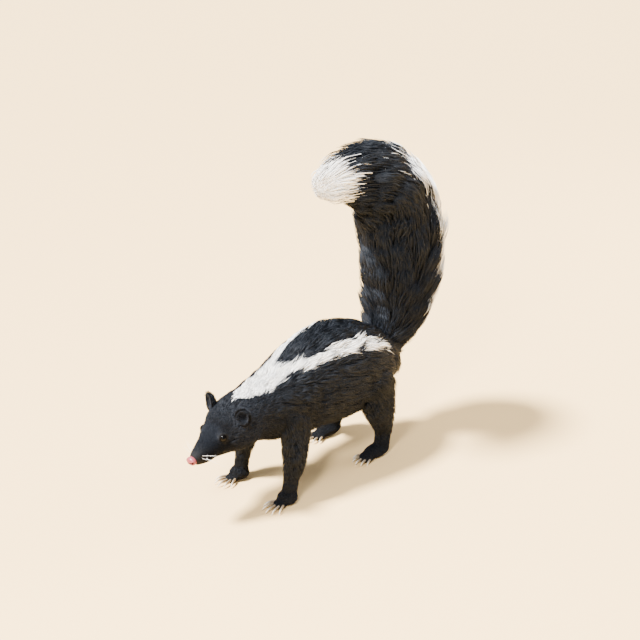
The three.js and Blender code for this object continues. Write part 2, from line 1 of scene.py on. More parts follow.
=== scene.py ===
"""A life-size striped skunk on four feet, its plumed tail raised and hooked forwards, dressed for show.

The animal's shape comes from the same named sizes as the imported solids. One hide covers the flesh, and the
coat over it is solid hair: thin closed tufts that follow the lie of the fur. Sizes are in millimetres in the
animal's own frame (+Z up, nose towards -Y, the fore soles at Y = 0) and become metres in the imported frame
when a mesh is made. Places round a body part are degrees from its left side (0) over its top (90).
"""

import logging
import math
from collections.abc import Callable
from dataclasses import dataclass, field
from enum import Enum

import bpy
import numpy as np
from bpy.types import Material, Mesh, NodeSocket, NodeTree
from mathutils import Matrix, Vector
from mathutils.bvhtree import BVHTree


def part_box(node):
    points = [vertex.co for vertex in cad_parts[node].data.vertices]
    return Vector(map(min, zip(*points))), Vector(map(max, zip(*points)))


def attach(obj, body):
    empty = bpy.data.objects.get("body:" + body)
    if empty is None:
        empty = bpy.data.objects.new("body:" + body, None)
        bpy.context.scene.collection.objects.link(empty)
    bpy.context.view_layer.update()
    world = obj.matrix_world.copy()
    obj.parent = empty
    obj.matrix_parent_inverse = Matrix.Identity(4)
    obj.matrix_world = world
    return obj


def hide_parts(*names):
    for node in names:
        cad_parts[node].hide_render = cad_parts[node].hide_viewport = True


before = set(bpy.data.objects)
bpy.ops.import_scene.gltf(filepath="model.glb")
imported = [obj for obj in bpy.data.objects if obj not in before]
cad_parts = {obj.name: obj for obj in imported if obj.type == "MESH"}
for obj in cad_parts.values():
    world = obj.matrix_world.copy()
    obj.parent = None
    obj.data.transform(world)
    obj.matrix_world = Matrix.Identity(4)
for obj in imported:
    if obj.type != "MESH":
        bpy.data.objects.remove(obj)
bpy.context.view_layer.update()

LOG = logging.getLogger("striped_skunk")
SEED = 2399
MM = 0.001  # metres in a millimetre
BODY = "root"

Array = np.ndarray
Random = np.random.Generator
Number = Array | float  # one number or many
Skin = tuple[Array, Array, Array]  # the points, quads and triangles of a closed skin

# Driving sizes, in millimetres and degrees
STANCE_LENGTH = 168.0
STANCE_WIDTH = 90.0
NOSE_REACH = 114.0
NOSE_HEIGHT = 85.0
HEAD_LENGTH = 86.0
HEAD_START = 2.5  # how far behind the tip of the nose the first section of the head is
HEAD_PITCH = math.radians(21)
BACK_HEIGHT = 196.0
BELLY_HEIGHT = 61.0
TAIL_TOP = 421.0
EYE_RADIUS = 4.8

LEFT_X = STANCE_WIDTH / 2
HIND_Y = STANCE_LENGTH
BODY_MIDDLE = (BACK_HEIGHT + BELLY_HEIGHT) / 2
BODY_HALF = (BACK_HEIGHT - BELLY_HEIGHT) / 2

LEFTWARDS = np.array([1.0, 0.0, 0.0])
UPWARDS = np.array([0.0, 0.0, 1.0])
MIRROR = np.array([-1.0, 1.0, 1.0])
SIDES = {"left": np.ones(3), "right": MIRROR}  # what turns a place on the left into one on each side


def on_head(back: float, out: float = 0.0, up: float = 0.0) -> tuple[float, float, float]:
    """Gives a place that is known in the head's own frame.

    Args:
        back: how far it is behind the tip of the nose.
        out: how far out to the left.
        up: how far above the head's axis.

    Returns:
        The place in the animal's frame.
    """
    y = -NOSE_REACH + back * math.cos(HEAD_PITCH) - up * math.sin(HEAD_PITCH)
    z = NOSE_HEIGHT + back * math.sin(HEAD_PITCH) + up * math.cos(HEAD_PITCH)
    return out, y, z


def unit(vectors: Array) -> Array:
    """Scales vectors to a length of one."""
    return vectors / np.maximum(np.linalg.norm(vectors, axis=-1, keepdims=True), 1e-9)


def smooth(edge: float, other: float, value: Number) -> Array:
    """Gives a smooth step from 0 at one edge to 1 at the other."""
    share = np.clip((np.asarray(value, float) - edge) / (other - edge), 0, 1)
    return share * share * (3 - 2 * share)


def full_turn(count: int) -> Array:
    """Gives evenly spaced angles right round, in radians."""
    return np.linspace(0, 2 * np.pi, count, endpoint=False)


# The swept body parts


@dataclass
class Sweep:
    """A body part swept along a spine through its stations.

    Attributes:
        stations: sections of the part, each with its middle (x, y, z), how far the coat's tips reach to the
            sides, above and below, and how deep the coat is.
        squareness: the power that squares the sections off, 2 for an ellipse.
        forms: soft swellings and hollows, each with its place along and round the part, its rise, and how
            far it spreads along and round.
    """

    stations: tuple[tuple[float, ...], ...]
    squareness: float = 2.0
    forms: tuple[tuple[float, ...], ...] = ()

    SAMPLES = 900  # places that the spine is measured at
    STRIDE = 6  # each so many of them is tried when a point is looked up
    BLOCKS = 40  # points are looked up in blocks, to save memory

    def __post_init__(self) -> None:
        """Samples the spine finely, as a smooth curve through the stations, and measures it."""
        knots = np.array(self.stations, float)
        knots = np.vstack([2 * knots[0] - knots[1], knots, 2 * knots[-1] - knots[-2]])
        t = np.linspace(0, len(self.stations) - 1 - 1e-9, self.SAMPLES)
        first = t.astype(int)
        u = (t - first)[:, None]
        a, b, c, d = (knots[first + k] for k in range(4))
        out, into = (c - a) / 2, (d - b) / 2
        cubic, square = 2 * b - 2 * c + out + into, 3 * c - 3 * b - 2 * out - into
        self.table = cubic * u**3 + square * u**2 + out * u + b
        gaps = np.linalg.norm(np.diff(self.table[:, :3], axis=0), axis=1)
        self.places = np.concatenate([[0.0], np.cumsum(gaps)])
        self.length = float(self.places[-1])
        self.tangents = unit(np.gradient(self.table[:, :3], self.places, axis=0))

    def column(self, along: Number, first: int, last: int) -> Array:
        """Gives some columns of the station table at places along the part."""
        return np.stack([np.interp(along, self.places, self.table[:, k]) for k in range(first, last)], -1)

    def axes(self, along: Number) -> tuple[Array, Array, Array, Array]:
        """Gives the spine's frame at places along it, which runs straight on past either end.

        Args:
            along: distances along the spine.

        Returns:
            The centre, the tangent, the side direction and the up direction at each place.
        """
        along = np.asarray(along, float)
        near = np.clip(along, 0, self.length)
        tangent = unit(np.stack([np.interp(near, self.places, self.tangents[:, k]) for k in range(3)], -1))
        centre = self.column(near, 0, 3) + tangent * (along - near)[..., None]
        side = unit(LEFTWARDS - tangent * tangent[..., :1])
        return centre, tangent, side, np.cross(side, tangent)

    def swell(self, along: Number, degrees: Number) -> Array:
        """Gives the height of the soft swellings and hollows, which are alike on both sides.

        Args:
            along: distances along the part.
            degrees: places round it.

        Returns:
            How far the surface is raised at each place.
        """
        fold = np.degrees(np.arcsin(np.clip(np.sin(np.radians(degrees)), -1, 1)))
        total = np.zeros(np.broadcast(along, degrees).shape)
        for back, at, rise, long, wide in self.forms:
            total = total + rise * np.exp(-(((along - back) / long) ** 2) - ((fold - at) / wide) ** 2)
        return total

    def surface(self, along: Number, degrees: Number, depth: Number = 0.0, proud: Number = 0.0) -> Array:
        """Gives points of the part.

        Args:
            along: distances along the part.
            degrees: places round it.
            depth: share of the coat's depth below its tips.
            proud: how far outside that the points stand.

        Returns:
            One point for each place.
        """
        along, degrees = np.broadcast_arrays(np.asarray(along, float), np.asarray(degrees, float))
        centre, _, side, up = self.axes(along)
        reach = self.column(along, 3, 7)
        inset = depth * reach[..., 3] - proud - self.swell(along, degrees)
        c, s = np.cos(np.radians(degrees)), np.sin(np.radians(degrees))
        across = np.sign(c) * np.abs(c) ** (2 / self.squareness) * (reach[..., 0] - inset)
        height = np.where(s > 0, reach[..., 1], reach[..., 2]) - inset
        rise = np.sign(s) * np.abs(s) ** (2 / self.squareness) * height
        return centre + side * across[..., None] + up * rise[..., None]

    def locate(self, points: Array, depth: Callable[[Array], Array]) -> tuple[Array, Array, Array]:
        """Finds where points are on the part.

        Args:
            points: places near the part.
            depth: gives the depth of the surface meant for distances along the part.

        Returns:
            The distance along, the degrees round, and how far outside the surface each point is.
        """
        spine, places = self.table[:: self.STRIDE, :3], self.places[:: self.STRIDE]
        blocks = np.array_split(points, self.BLOCKS)
        nearest = np.concatenate([((block[:, None] - spine) ** 2).sum(-1).argmin(1) for block in blocks])
        centre, tangent, _, _ = self.axes(places[nearest])
        along = places[nearest] + ((points - centre) * tangent).sum(-1)
        along = np.clip(along, 0, self.length)
        centre, _, side, up = self.axes(along)
        across = ((points - centre) * side).sum(-1)
        rise = ((points - centre) * up).sum(-1)
        reach = self.column(along, 3, 7)
        inset = depth(along) * reach[:, 3]
        wide = np.maximum(reach[:, 0] - inset, 1)
        high = np.maximum(np.where(rise > 0, reach[:, 1], reach[:, 2]) - inset, 1)
        power = self.squareness / 2
        c = np.sign(across) * np.abs(across / wide) ** power
        s = np.sign(rise) * np.abs(rise / high) ** power
        ratio = (c * c + s * s) ** (1 / self.squareness)
        outside = np.hypot(across, rise) * (1 - 1 / np.maximum(ratio, 1e-3))
        outside = np.maximum(outside, np.linalg.norm(points - centre, axis=1) - np.maximum(wide, high))
        return along, np.degrees(np.arctan2(s, c)) % 360, outside

    def mirrored(self) -> "Sweep":
        """Gives the same part on the animal's other side."""
        return Sweep(tuple((-s[0], *s[1:]) for s in self.stations), self.squareness, self.forms)


# Whisker pads, eye hollows, brows, cheeks and the dip of the forehead
HEAD_FORMS = (
    (14.0, -28.0, 1.8, 8.0, 26.0),
    (41.0, 30.0, -1.8, 8.0, 18.0),
    (49.0, 58.0, 1.6, 10.0, 16.0),
    (66.0, -14.0, 3.0, 15.0, 32.0),
    (38.0, 90.0, -0.9, 9.0, 30.0),
)
TRUNK = Sweep(
    (
        (*on_head(HEAD_START), 5.5, 5, 5.5, 1),
        (*on_head(10), 11, 9.5, 9.5, 1.5),
        (*on_head(20), 14.5, 12.5, 13, 2),
        (*on_head(31), 18.5, 16.5, 16.5, 2.5),
        (*on_head(43), 25, 23, 21, 3.5),
        (*on_head(57), 32, 29, 26.5, 5),
        (*on_head(72), 37.5, 32.5, 31.5, 7),
        (*on_head(HEAD_LENGTH), 38.5, 33.5, 35, 9),
        (0, -8, 118, 40, 35.5, 41, 11),
        (0, 20, 118, 46, 42, 46, 13),
        (0, 50, 120, 53, 54, 55, 16),
        (0, 88, 125, 58, 64, 62, 18),
        (0, 126, BODY_MIDDLE, 61, BODY_HALF, BODY_HALF, 20),
        (0, 160, 127, 62, 62, 61, 22),
        (0, 190, 122, 55, 51, 51, 22),
        (0, 213, 118, 42, 37, 38, 19),
        (0, 229, 115, 26, 22, 23, 12),
        (0, 240, 112, 9, 8, 8, 4),
    ),
    squareness=2.15,
    forms=HEAD_FORMS,
)
FORELEG = Sweep(
    (
        (LEFT_X - 22, 33, 124, 9, 12, 12, 4),
        (LEFT_X - 10, 25, 99, 17, 21, 19, 6),
        (LEFT_X - 4, 18, 74, 17, 19, 17, 7),
        (LEFT_X, 12, 50, 14, 14, 13, 5),
        (LEFT_X, 8, 32, 12, 11, 11, 4),
        (LEFT_X, 5, 14, 11.5, 10, 11, 3),
    )
)
HINDLEG = Sweep(
    (
        (LEFT_X - 21, HIND_Y + 4, 128, 11, 18, 19, 5),
        (LEFT_X - 7, HIND_Y + 4, 100, 20, 29, 30, 9),
        (LEFT_X - 1, HIND_Y + 6, 74, 20, 24, 27, 9),
        (LEFT_X, HIND_Y + 12, 50, 15, 16, 18, 6),
        (LEFT_X, HIND_Y + 16, 32, 12.5, 12.5, 14, 4),
        (LEFT_X, HIND_Y + 14, 13, 12, 12, 14, 3),
    )
)
TAIL = Sweep(
    (
        (0, 212, 128, 16, 16, 16, 6),
        (0, 233, 147, 36, 27, 35, 17),
        (0, 250, 174, 48, 42, 49, 30),
        (0, 259, 208, 54, 52, 58, 40),
        (0, 262, 248, 57, 56, 66, 45),
        (0, 258, 288, 58, 54, 69, 46),
        (0, 246, 325, 57, 49, 65, 45),
        (0, 221, 356, 54, 45, 57, 42),
        (0, 187, 374, 49, 42, TAIL_TOP - 374, 37),
        (0, 153, 380, 42, 38, 39, 31),
        (0, 124, 379, 30, 29, 28, 22),
        (0, 104, 375, 9, 9, 9, 7),
    )
)
# The tail as its hair sees it: the last lengths stay wide, so that the brush has a full, rounded end
BRUSH = Sweep((*TAIL.stations[:-2], (0, 124, 379, 31, 30, 29, 24), (0, 104, 375, 17, 17, 17, 14)))


class Part(Enum):
    """The swept parts of the body."""

    TRUNK = 0
    FORELEG_LEFT = 1
    FORELEG_RIGHT = 2
    HINDLEG_LEFT = 3
    HINDLEG_RIGHT = 4
    TAIL = 5


SWEEPS = {
    Part.TRUNK: TRUNK,
    Part.FORELEG_LEFT: FORELEG,
    Part.FORELEG_RIGHT: FORELEG.mirrored(),
    Part.HINDLEG_LEFT: HINDLEG,
    Part.HINDLEG_RIGHT: HINDLEG.mirrored(),
    Part.TAIL: TAIL,
}


def hide_depth(part: Part, along: Array) -> Array:
    """Gives how deep the hide lies in the coat of a part.

    Args:
        part: the part.
        along: distances along it.

    Returns:
        The depth at each distance, as a share of the coat's own.
    """
    if part is Part.TRUNK:
        return 1.0 - 0.2 * smooth(90, 150, along)
    if part is Part.TAIL:
        return 0.75 - 0.15 * smooth(0, 60, along)
    return np.full(np.shape(along), 0.9)


# Places on the head, by how far back they are, how far round, and how far outside the coat's tips
EYE_BACK, EYE_DEGREES, EYE_PROUD = 44.0, 34.0, -3.4
EAR_BACK, EAR_DEGREES, EAR_PROUD = 74.0, 43.0, 2.5
EYE_AT = TRUNK.surface(EYE_BACK - HEAD_START, EYE_DEGREES, 0, EYE_PROUD)
EYE_FACE = unit(np.array([0.82, -0.47, 0.32]))
EAR_AT = TRUNK.surface(EAR_BACK - HEAD_START, EAR_DEGREES, 0, EAR_PROUD)
NOSE_AT = np.array(on_head(3.2, 0, 1.2))


def packed_shift() -> float:
    """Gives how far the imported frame's origin is from the fore soles along Y, from the left eye's node."""
    low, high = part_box("eye_left")
    return (low.y + high.y) / 2 / MM - float(EYE_AT[1])


SHIFT = np.array([0.0, packed_shift(), 0.0])


def to_frame(points: Array) -> Array:
    """Turns points in the animal's frame, in millimetres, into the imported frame, in metres."""
    return (np.asarray(points, float) + SHIFT) * MM


# Meshes


def add_piece(name: str, mesh: Mesh, slot: str, material: Material, *nodes: str) -> None:
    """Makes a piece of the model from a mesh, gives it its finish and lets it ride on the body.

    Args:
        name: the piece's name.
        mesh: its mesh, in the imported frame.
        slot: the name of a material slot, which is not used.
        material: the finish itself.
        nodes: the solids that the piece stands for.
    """
    piece = bpy.data.objects.new(name, mesh)
    bpy.context.scene.collection.objects.link(piece)
    mesh.materials.clear()
    mesh.materials.append(material)
    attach(piece, BODY)
    if nodes:
        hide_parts(*nodes)


def mesh_of(name: str, skin: Skin) -> Mesh:
    """Makes a smooth-shaded mesh.

    Args:
        name: the mesh's name.
        skin: its skin, in the animal's frame.

    Returns:
        The mesh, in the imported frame.
    """
    points, quads, triangles = skin
    corners = np.concatenate([quads.ravel(), triangles.ravel()]).astype(np.int32)
    starts = np.concatenate([np.arange(len(quads)) * 4, len(quads) * 4 + np.arange(len(triangles)) * 3])
    mesh = bpy.data.meshes.new(name)
    mesh.vertices.add(len(points))
    mesh.vertices.foreach_set("co", to_frame(points).astype(np.float32).ravel())
    mesh.loops.add(len(corners))
    mesh.loops.foreach_set("vertex_index", corners)
    mesh.polygons.add(len(starts))
    mesh.polygons.foreach_set("loop_start", starts.astype(np.int32))
    mesh.update(calc_edges=True)
    mesh.polygons.foreach_set("use_smooth", np.ones(len(starts), bool))
    mesh.validate()
    return mesh


def set_value(mesh: Mesh, name: str, values: Array) -> None:
    """Stores a number on each vertex of a mesh, for its material to read."""
    attribute = mesh.attributes.new(name, "FLOAT", "POINT")
    attribute.data.foreach_set("value", np.asarray(values, np.float32))


def read_values(items: bpy.types.bpy_prop_collection, name: str, wide: int, kind: type) -> Array:
    """Reads a property of all of a mesh's items.

    Args:
        items: its vertices, edges, loops or polygons.
        name: the property's name.
        wide: how many numbers it has for each item.
        kind: the type of these numbers.

    Returns:
        A number or a row of numbers for each item.
    """
    values = np.zeros(len(items) * wide, kind)
    items.foreach_get(name, values)
    return values.reshape(-1, wide) if wide > 1 else values


def grid_faces(rows: int, columns: int, closed_rows: bool = False) -> Array:
    """Gives the quads of a grid of points that is closed round its columns.

    Args:
        rows: how many rows it has.
        columns: how many points a row has.
        closed_rows: whether the last row meets the first.

    Returns:
        The four corners of each quad.
    """
    r, c = np.meshgrid(np.arange(rows if closed_rows else rows - 1), np.arange(columns), indexing="ij")
    ahead, beside = (r + 1) % rows, (c + 1) % columns
    corners = (r * columns + c, r * columns + beside, ahead * columns + beside, ahead * columns + c)
    return np.stack(corners, -1).reshape(-1, 4)


def capped(rings: Array) -> Skin:
    """Closes rings of points with a fan of triangles at both ends.

    Args:
        rings: the points, by ring and by place round it.

    Returns:
        The closed skin.
    """
    rows, columns = rings.shape[:2]
    points = np.vstack([rings.reshape(-1, 3), rings[0].mean(0), rings[-1].mean(0)])
    k = np.arange(columns)
    beside = (k + 1) % columns
    low = np.stack([np.full(columns, rows * columns), beside, k], -1)
    end = (rows - 1) * columns
    high = np.stack([np.full(columns, rows * columns + 1), end + k, end + beside], -1)
    return points, grid_faces(rows, columns), np.vstack([low, high])


def looped(rings: Array) -> Skin:
    """Joins rings of points, by ring and by place round it, so that the last one meets the first."""
    return rings.reshape(-1, 3), grid_faces(*rings.shape[:2], True), np.zeros((0, 3), int)


def tube(path: Array, radii: Array, sides: int = 10, flat: float = 1.0) -> Skin:
    """Makes a closed tube along a path.

    Args:
        path: its middle line, which never runs straight up.
        radii: its radius at each point of the path.
        sides: how many sides it has.
        flat: its width as a share of its height.

    Returns:
        The tube's skin.
    """
    tangents = unit(np.gradient(path, axis=0))
    side = unit(np.cross(tangents, np.array([0.0, 0.05, 1.0])))
    up = np.cross(side, tangents)
    angles = full_turn(sides)
    ring = side[:, None] * np.cos(angles)[None, :, None] * flat + up[:, None] * np.sin(angles)[None, :, None]
    return capped(path[:, None] + ring * np.asarray(radii)[:, None, None])


def ball(rows: int, columns: int) -> Array:
    """Gives directions over a sphere, leaving out its poles.

    Args:
        rows: how many rings there are from the +Z pole to the -Z pole.
        columns: how many directions a ring has.

    Returns:
        The directions, by ring and by place round it.
    """
    polar = np.linspace(0, np.pi, rows + 2)[1:-1, None]
    turn = full_turn(columns)
    high = np.broadcast_to(np.cos(polar), (rows, columns))
    return np.stack([np.sin(polar) * np.cos(turn), np.sin(polar) * np.sin(turn), high], -1)


def joined(skins: list[Skin]) -> Skin:
    """Puts several skins together.

    Args:
        skins: the skins.

    Returns:
        All of them as one.
    """
    points, quads, triangles = zip(*skins)
    offsets = np.cumsum([0] + [len(some) for some in points[:-1]])
    quads = np.vstack([faces + offset for faces, offset in zip(quads, offsets)])
    return np.vstack(points), quads, np.vstack([faces + offset for faces, offset in zip(triangles, offsets)])


def basis(forward: Array) -> tuple[Array, Array]:
    """Gives the side and up directions square to a forward direction."""
    side = unit(np.cross(UPWARDS, forward))
    return side, np.cross(forward, side)


# Finishes

Inputs = dict[str | int, object]  # a node's inputs, by name or by number
FACTOR, FIRST, SECOND, RESULT = 0, 6, 7, 2  # the sockets of a node that mixes two colours


def linear(hex_colour: str) -> tuple[float, float, float, float]:
    """Turns an sRGB colour into a linear one.

    Args:
        hex_colour: the colour, such as #1d1b1a.

    Returns:
        Its linear red, green and blue, and an alpha of one.
    """
    values = [int(hex_colour[k : k + 2], 16) / 255 for k in (1, 3, 5)]
    curved = [v / 12.92 if v <= 0.04045 else ((v + 0.055) / 1.055) ** 2.4 for v in values]
    return curved[0], curved[1], curved[2], 1.0


def pattern_scale(size_mm: float) -> float:
    """Gives the scale of a pattern from the real size of its grain."""
    return 1 / (size_mm * MM)


def add_node(
    tree: NodeTree, kind: str, inputs: Inputs | None = None, give: int | str = 0, **settings
) -> NodeSocket | None:
    """Adds a node with its settings and links.

    Args:
        tree: the material's nodes.
        kind: Blender's name for the kind of node, without ShaderNode.
        inputs: for each input, a constant or the output that it takes.
        give: the output that is asked for.
        settings: the node's own settings.

    Returns:
        That output, or None where the node has no outputs.
    """
    node = tree.nodes.new(f"ShaderNode{kind}")
    for name, value in settings.items():
        setattr(node, name, value)
    for name, value in (inputs or {}).items():
        if isinstance(value, NodeSocket):
            tree.links.new(value, node.inputs[name])
        else:
            node.inputs[name].default_value = value
    return node.outputs[give] if len(node.outputs) else None


@dataclass(frozen=True)
class Finish:
    """A finish: a named material with one surface."""

    name: str

    def inputs(self, tree: NodeTree) -> Inputs:
        """Adds the nodes of the finish that come before its surface.

        Args:
            tree: the material's nodes.

        Returns:
            What each input of the surface takes: a constant, or the output of a node.
        """
        raise NotImplementedError

    def build(self) -> Material:
        """Builds the finish.

        Returns:
            Its material.
        """
        material = bpy.data.materials.new(self.name)
        material.use_nodes = True
        tree = material.node_tree
        tree.nodes.clear()
        surface = add_node(tree, "BsdfPrincipled", self.inputs(tree))
        add_node(tree, "OutputMaterial", {"Surface": surface})
        return material


@dataclass(frozen=True)
class GuardHair(Finish):
    """Guard hair: keratin strands lying in tufts, their colour shifting from root to tip and tuft to tuft."""

    root: str
    tip: str
    stray: str
    roughness: float
    gloss: float
    depth: float = 0.35  # how far the shade of single strands departs from the tuft's colour
    sheen: float = 0.0
    patch_mm: float = 22.0
    tuft_mm: float = 1.5
    strand_mm: float = 0.3  # a single hair is about 0.1 mm and is drawn coarser, so that it shows
    relief_mm: float = 0.2

    def inputs(self, tree: NodeTree) -> Inputs:
        """Adds the shift from root to tip, the mottling between tufts, and strands drawn along each tuft.

        Args:
            tree: the material's nodes.

        Returns:
            What each input of the surface takes.
        """
        place = add_node(tree, "TexCoord", give="Object")
        names = ("reach", "tone", "across")
        reach, tone, across = (add_node(tree, "Attribute", give="Fac", attribute_name=name) for name in names)
        ends = {FACTOR: reach, FIRST: linear(self.root), SECOND: linear(self.tip)}
        along = add_node(tree, "Mix", ends, RESULT, data_type="RGBA")
        scale = pattern_scale(self.patch_mm)
        patches = add_node(tree, "TexNoise", {"Vector": place, "Scale": scale, "Detail": 2.0})
        mottle = add_node(tree, "Math", {0: tone, 1: patches}, operation="MULTIPLY")
        strays = {FACTOR: mottle, FIRST: along, SECOND: linear(self.stray)}
        mottled = add_node(tree, "Mix", strays, RESULT, data_type="RGBA")
        lengthwise = add_node(tree, "CombineXYZ", {"X": across, "Y": reach, "Z": tone})
        stretch = (self.tuft_mm / self.strand_mm / 2, 0.8, 40.0)
        drawn = add_node(tree, "Mapping", {"Vector": lengthwise, "Scale": stretch})
        strands = add_node(tree, "TexNoise", {"Vector": drawn, "Scale": 1.0, "Detail": 1.0})
        low, high = 1 - self.depth, 1 + self.depth / 2
        shades = {"Value": strands, "From Min": 0.3, "From Max": 0.7, "To Min": low, "To Max": high}
        shade = add_node(tree, "MapRange", shades)
        both = {FACTOR: 1.0, FIRST: mottled, SECOND: shade}
        distance = self.relief_mm * MM
        return {
            "Base Color": add_node(tree, "Mix", both, RESULT, data_type="RGBA", blend_type="MULTIPLY"),
            "Roughness": self.roughness,
            "IOR": 1.55,
            "Specular IOR Level": self.gloss,
            "Sheen Weight": self.sheen,
            "Normal": add_node(tree, "Bump", {"Height": strands, "Strength": 0.5, "Distance": distance}),
        }


@dataclass(frozen=True)
class Leather(Finish):
    """Bare skin: soft leather with a pebbled or creased grain, with painted shade in its creases and inside a
    hollow.
    """

    colour: str
    # the colour between the pebbles: painted shade in the creases
    crease_shade: str
    roughness: float
    grain_mm: float
    relief_mm: float
    wet: float = 0.0
    gloss: float = 0.5
    # the painted shade inside a hollow, such as a nostril
    hollow_shade: str = "#000000"

    def inputs(self, tree: NodeTree) -> Inputs:
        """Adds the pebbles, with painted shade in the creases between them, and painted shade inside a
        hollow.

        Args:
            tree: the material's nodes.

        Returns:
            What each input of the surface takes.
        """
        place = add_node(tree, "TexCoord", give="Object")
        pebbles = add_node(tree, "TexVoronoi", {"Vector": place, "Scale": pattern_scale(self.grain_mm)})
        # the creases between the pebbles are painted in the darker colour, as shade
        shaded_creases = add_node(tree, "MapRange", {"Value": pebbles, "From Min": 0.25, "From Max": 0.75})
        tones = {FACTOR: shaded_creases, FIRST: linear(self.colour), SECOND: linear(self.crease_shade)}
        grain = add_node(tree, "Mix", tones, RESULT, data_type="RGBA")
        # painted shade inside a hollow, read from the mesh
        inside = add_node(tree, "Attribute", give="Fac", attribute_name="hollow_shade")
        shaded = {FACTOR: inside, FIRST: grain, SECOND: linear(self.hollow_shade)}
        relief = {"Height": pebbles, "Strength": 0.6, "Distance": self.relief_mm * MM}
        return {
            "Base Color": add_node(tree, "Mix", shaded, RESULT, data_type="RGBA"),
            "Roughness": self.roughness,
            "IOR": 1.4,
            "Specular IOR Level": self.gloss,
            "Coat Weight": self.wet,
            "Coat Roughness": 0.15,
            "Normal": add_node(tree, "Bump", relief, invert=True),
        }


@dataclass(frozen=True)
class Pelt(Finish):
    """The hide under the coat: black where the hair is black and pale where it is white, with a fine nap."""

    name: str = "hide_under_fur"
    black: str = "#090808"
    pale: str = "#d9cfc0"
    nap_mm: float = 0.9
    relief_mm: float = 0.4

    def inputs(self, tree: NodeTree) -> Inputs:
        """Adds the marks and the nap.

        Args:
            tree: the material's nodes.

        Returns:
            What each input of the surface takes.
        """
        place = add_node(tree, "TexCoord", give="Object")
        scale = pattern_scale(self.nap_mm)
        nap = add_node(tree, "TexNoise", {"Vector": place, "Scale": scale, "Detail": 3.0})
        white = add_node(tree, "Attribute", give="Fac", attribute_name="white")
        marks = {FACTOR: white, FIRST: linear(self.black), SECOND: linear(self.pale)}
        relief = {"Height": nap, "Strength": 0.7, "Distance": self.relief_mm * MM}
        return {
            "Base Color": add_node(tree, "Mix", marks, RESULT, data_type="RGBA"),
            "Roughness": 0.8,
            "Specular IOR Level": 0.2,
            "Normal": add_node(tree, "Bump", relief),
        }


@dataclass(frozen=True)
class WetEye(Finish):
    """A dark brown eye behind a clear wet cornea: a black pupil in a ring of iris."""

    name: str = "wet_eye"
    pupil: str = "#020202"
    iris: str = "#050302"
    edge: tuple[float, float] = (24.0, 30.0)  # where the pupil ends and the iris begins, in degrees

    def inputs(self, tree: NodeTree) -> Inputs:
        """Adds the pupil and the iris.

        Args:
            tree: the material's nodes.

        Returns:
            What each input of the surface takes.
        """
        first, last = self.edge
        polar = add_node(tree, "Attribute", give="Fac", attribute_name="polar")
        ring = add_node(tree, "MapRange", {"Value": polar, "From Min": first, "From Max": last})
        tones = {FACTOR: ring, FIRST: linear(self.pupil), SECOND: linear(self.iris)}
        colour = add_node(tree, "Mix", tones, RESULT, data_type="RGBA")
        return {"Base Color": colour, "Roughness": 0.04, "IOR": 1.38, "Specular IOR Level": 0.15}


@dataclass(frozen=True)
class Horn(Finish):
    """Claw horn: semi-polished keratin, brownish at the root and pale at the tip, with lengthwise fibres."""

    name: str = "claw_horn"
    root: str = "#85745c"
    tip: str = "#ece5d4"
    fibre_mm: float = 0.5
    relief_mm: float = 0.1

    def inputs(self, tree: NodeTree) -> Inputs:
        """Adds the shift from root to tip and the fibres.

        Args:
            tree: the material's nodes.

        Returns:
            What each input of the surface takes.
        """
        place = add_node(tree, "TexCoord", give="Object")
        stretch = add_node(tree, "Mapping", {"Vector": place, "Scale": (1.0, 0.15, 1.0)})
        fibres = add_node(tree, "TexNoise", {"Vector": stretch, "Scale": pattern_scale(self.fibre_mm)})
        reach = add_node(tree, "Attribute", give="Fac", attribute_name="reach")
        ends = {FACTOR: reach, FIRST: linear(self.root), SECOND: linear(self.tip)}
        relief = {"Height": fibres, "Strength": 0.3, "Distance": self.relief_mm * MM}
        return {
            "Base Color": add_node(tree, "Mix", ends, RESULT, data_type="RGBA"),
            "Roughness": 0.35,
            "IOR": 1.54,
            "Normal": add_node(tree, "Bump", relief),
        }


@dataclass(frozen=True)
class Paper(Finish):
    """Matt studio paper, smooth and without a pattern."""

    name: str = "pale_studio_paper"
    colour: str = "#e9c387"

    def inputs(self, tree: NodeTree) -> Inputs:
        """Gives the paper's colour and its dull surface."""
        return {"Base Color": linear(self.colour), "Roughness": 0.9, "Specular IOR Level": 0.2}


# Black guard hair is a neutral near-black, with a faint satin gloss along each strand
BLACK_HAIR = GuardHair("black_guard_hair", "#08090b", "#1c2026", "#272b32", 0.55, 0.1)
# White guard hair is translucent and reads as a warm white, creamier near its root
WHITE_HAIR = GuardHair("white_guard_hair", "#f0e8da", "#ffffff", "#f4ecde", 0.5, 0.4, 0.1, 0.35)
# Short hair on the face, ears and feet is duller, as its tips point at the eye
SHORT_HAIR = GuardHair("short_black_hair", "#08090b", "#191c22", "#23272e", 0.55, 0.1, tuft_mm=0.6)
# A whisker is a stiff, smooth, pale bristle
WHISKER_HAIR = GuardHair("whisker_bristle", "#e9e4da", "#fbfaf6", "#f2eee4", 0.35, 0.5)
# The nose is bare, moist, pebbled skin, with painted shade inside its nostrils and in the creases between its
# pebbles
NOSE_LEATHER = Leather("moist_pink_nose", "#96434a", "#7f353c", 0.45, 0.75, 0.1, wet=0.2, hollow_shade="#260b0d")
# The lips are thin dark skin, smooth and a little moist, and the lids are duller and drier
LIP_LEATHER = Leather("dark_lip_skin", "#060506", "#030303", 0.6, 0.9, 0.05, gloss=0.06)
LID_LEATHER = Leather("eyelid_skin", "#060606", "#030303", 0.65, 0.9, 0.04, gloss=0.08)
# The inside of an ear is thin dark skin, dull and nearly black
EAR_LEATHER = Leather("ear_skin", "#080708", "#040404", 0.7, 1.2, 0.06, gloss=0.08)


# Markings


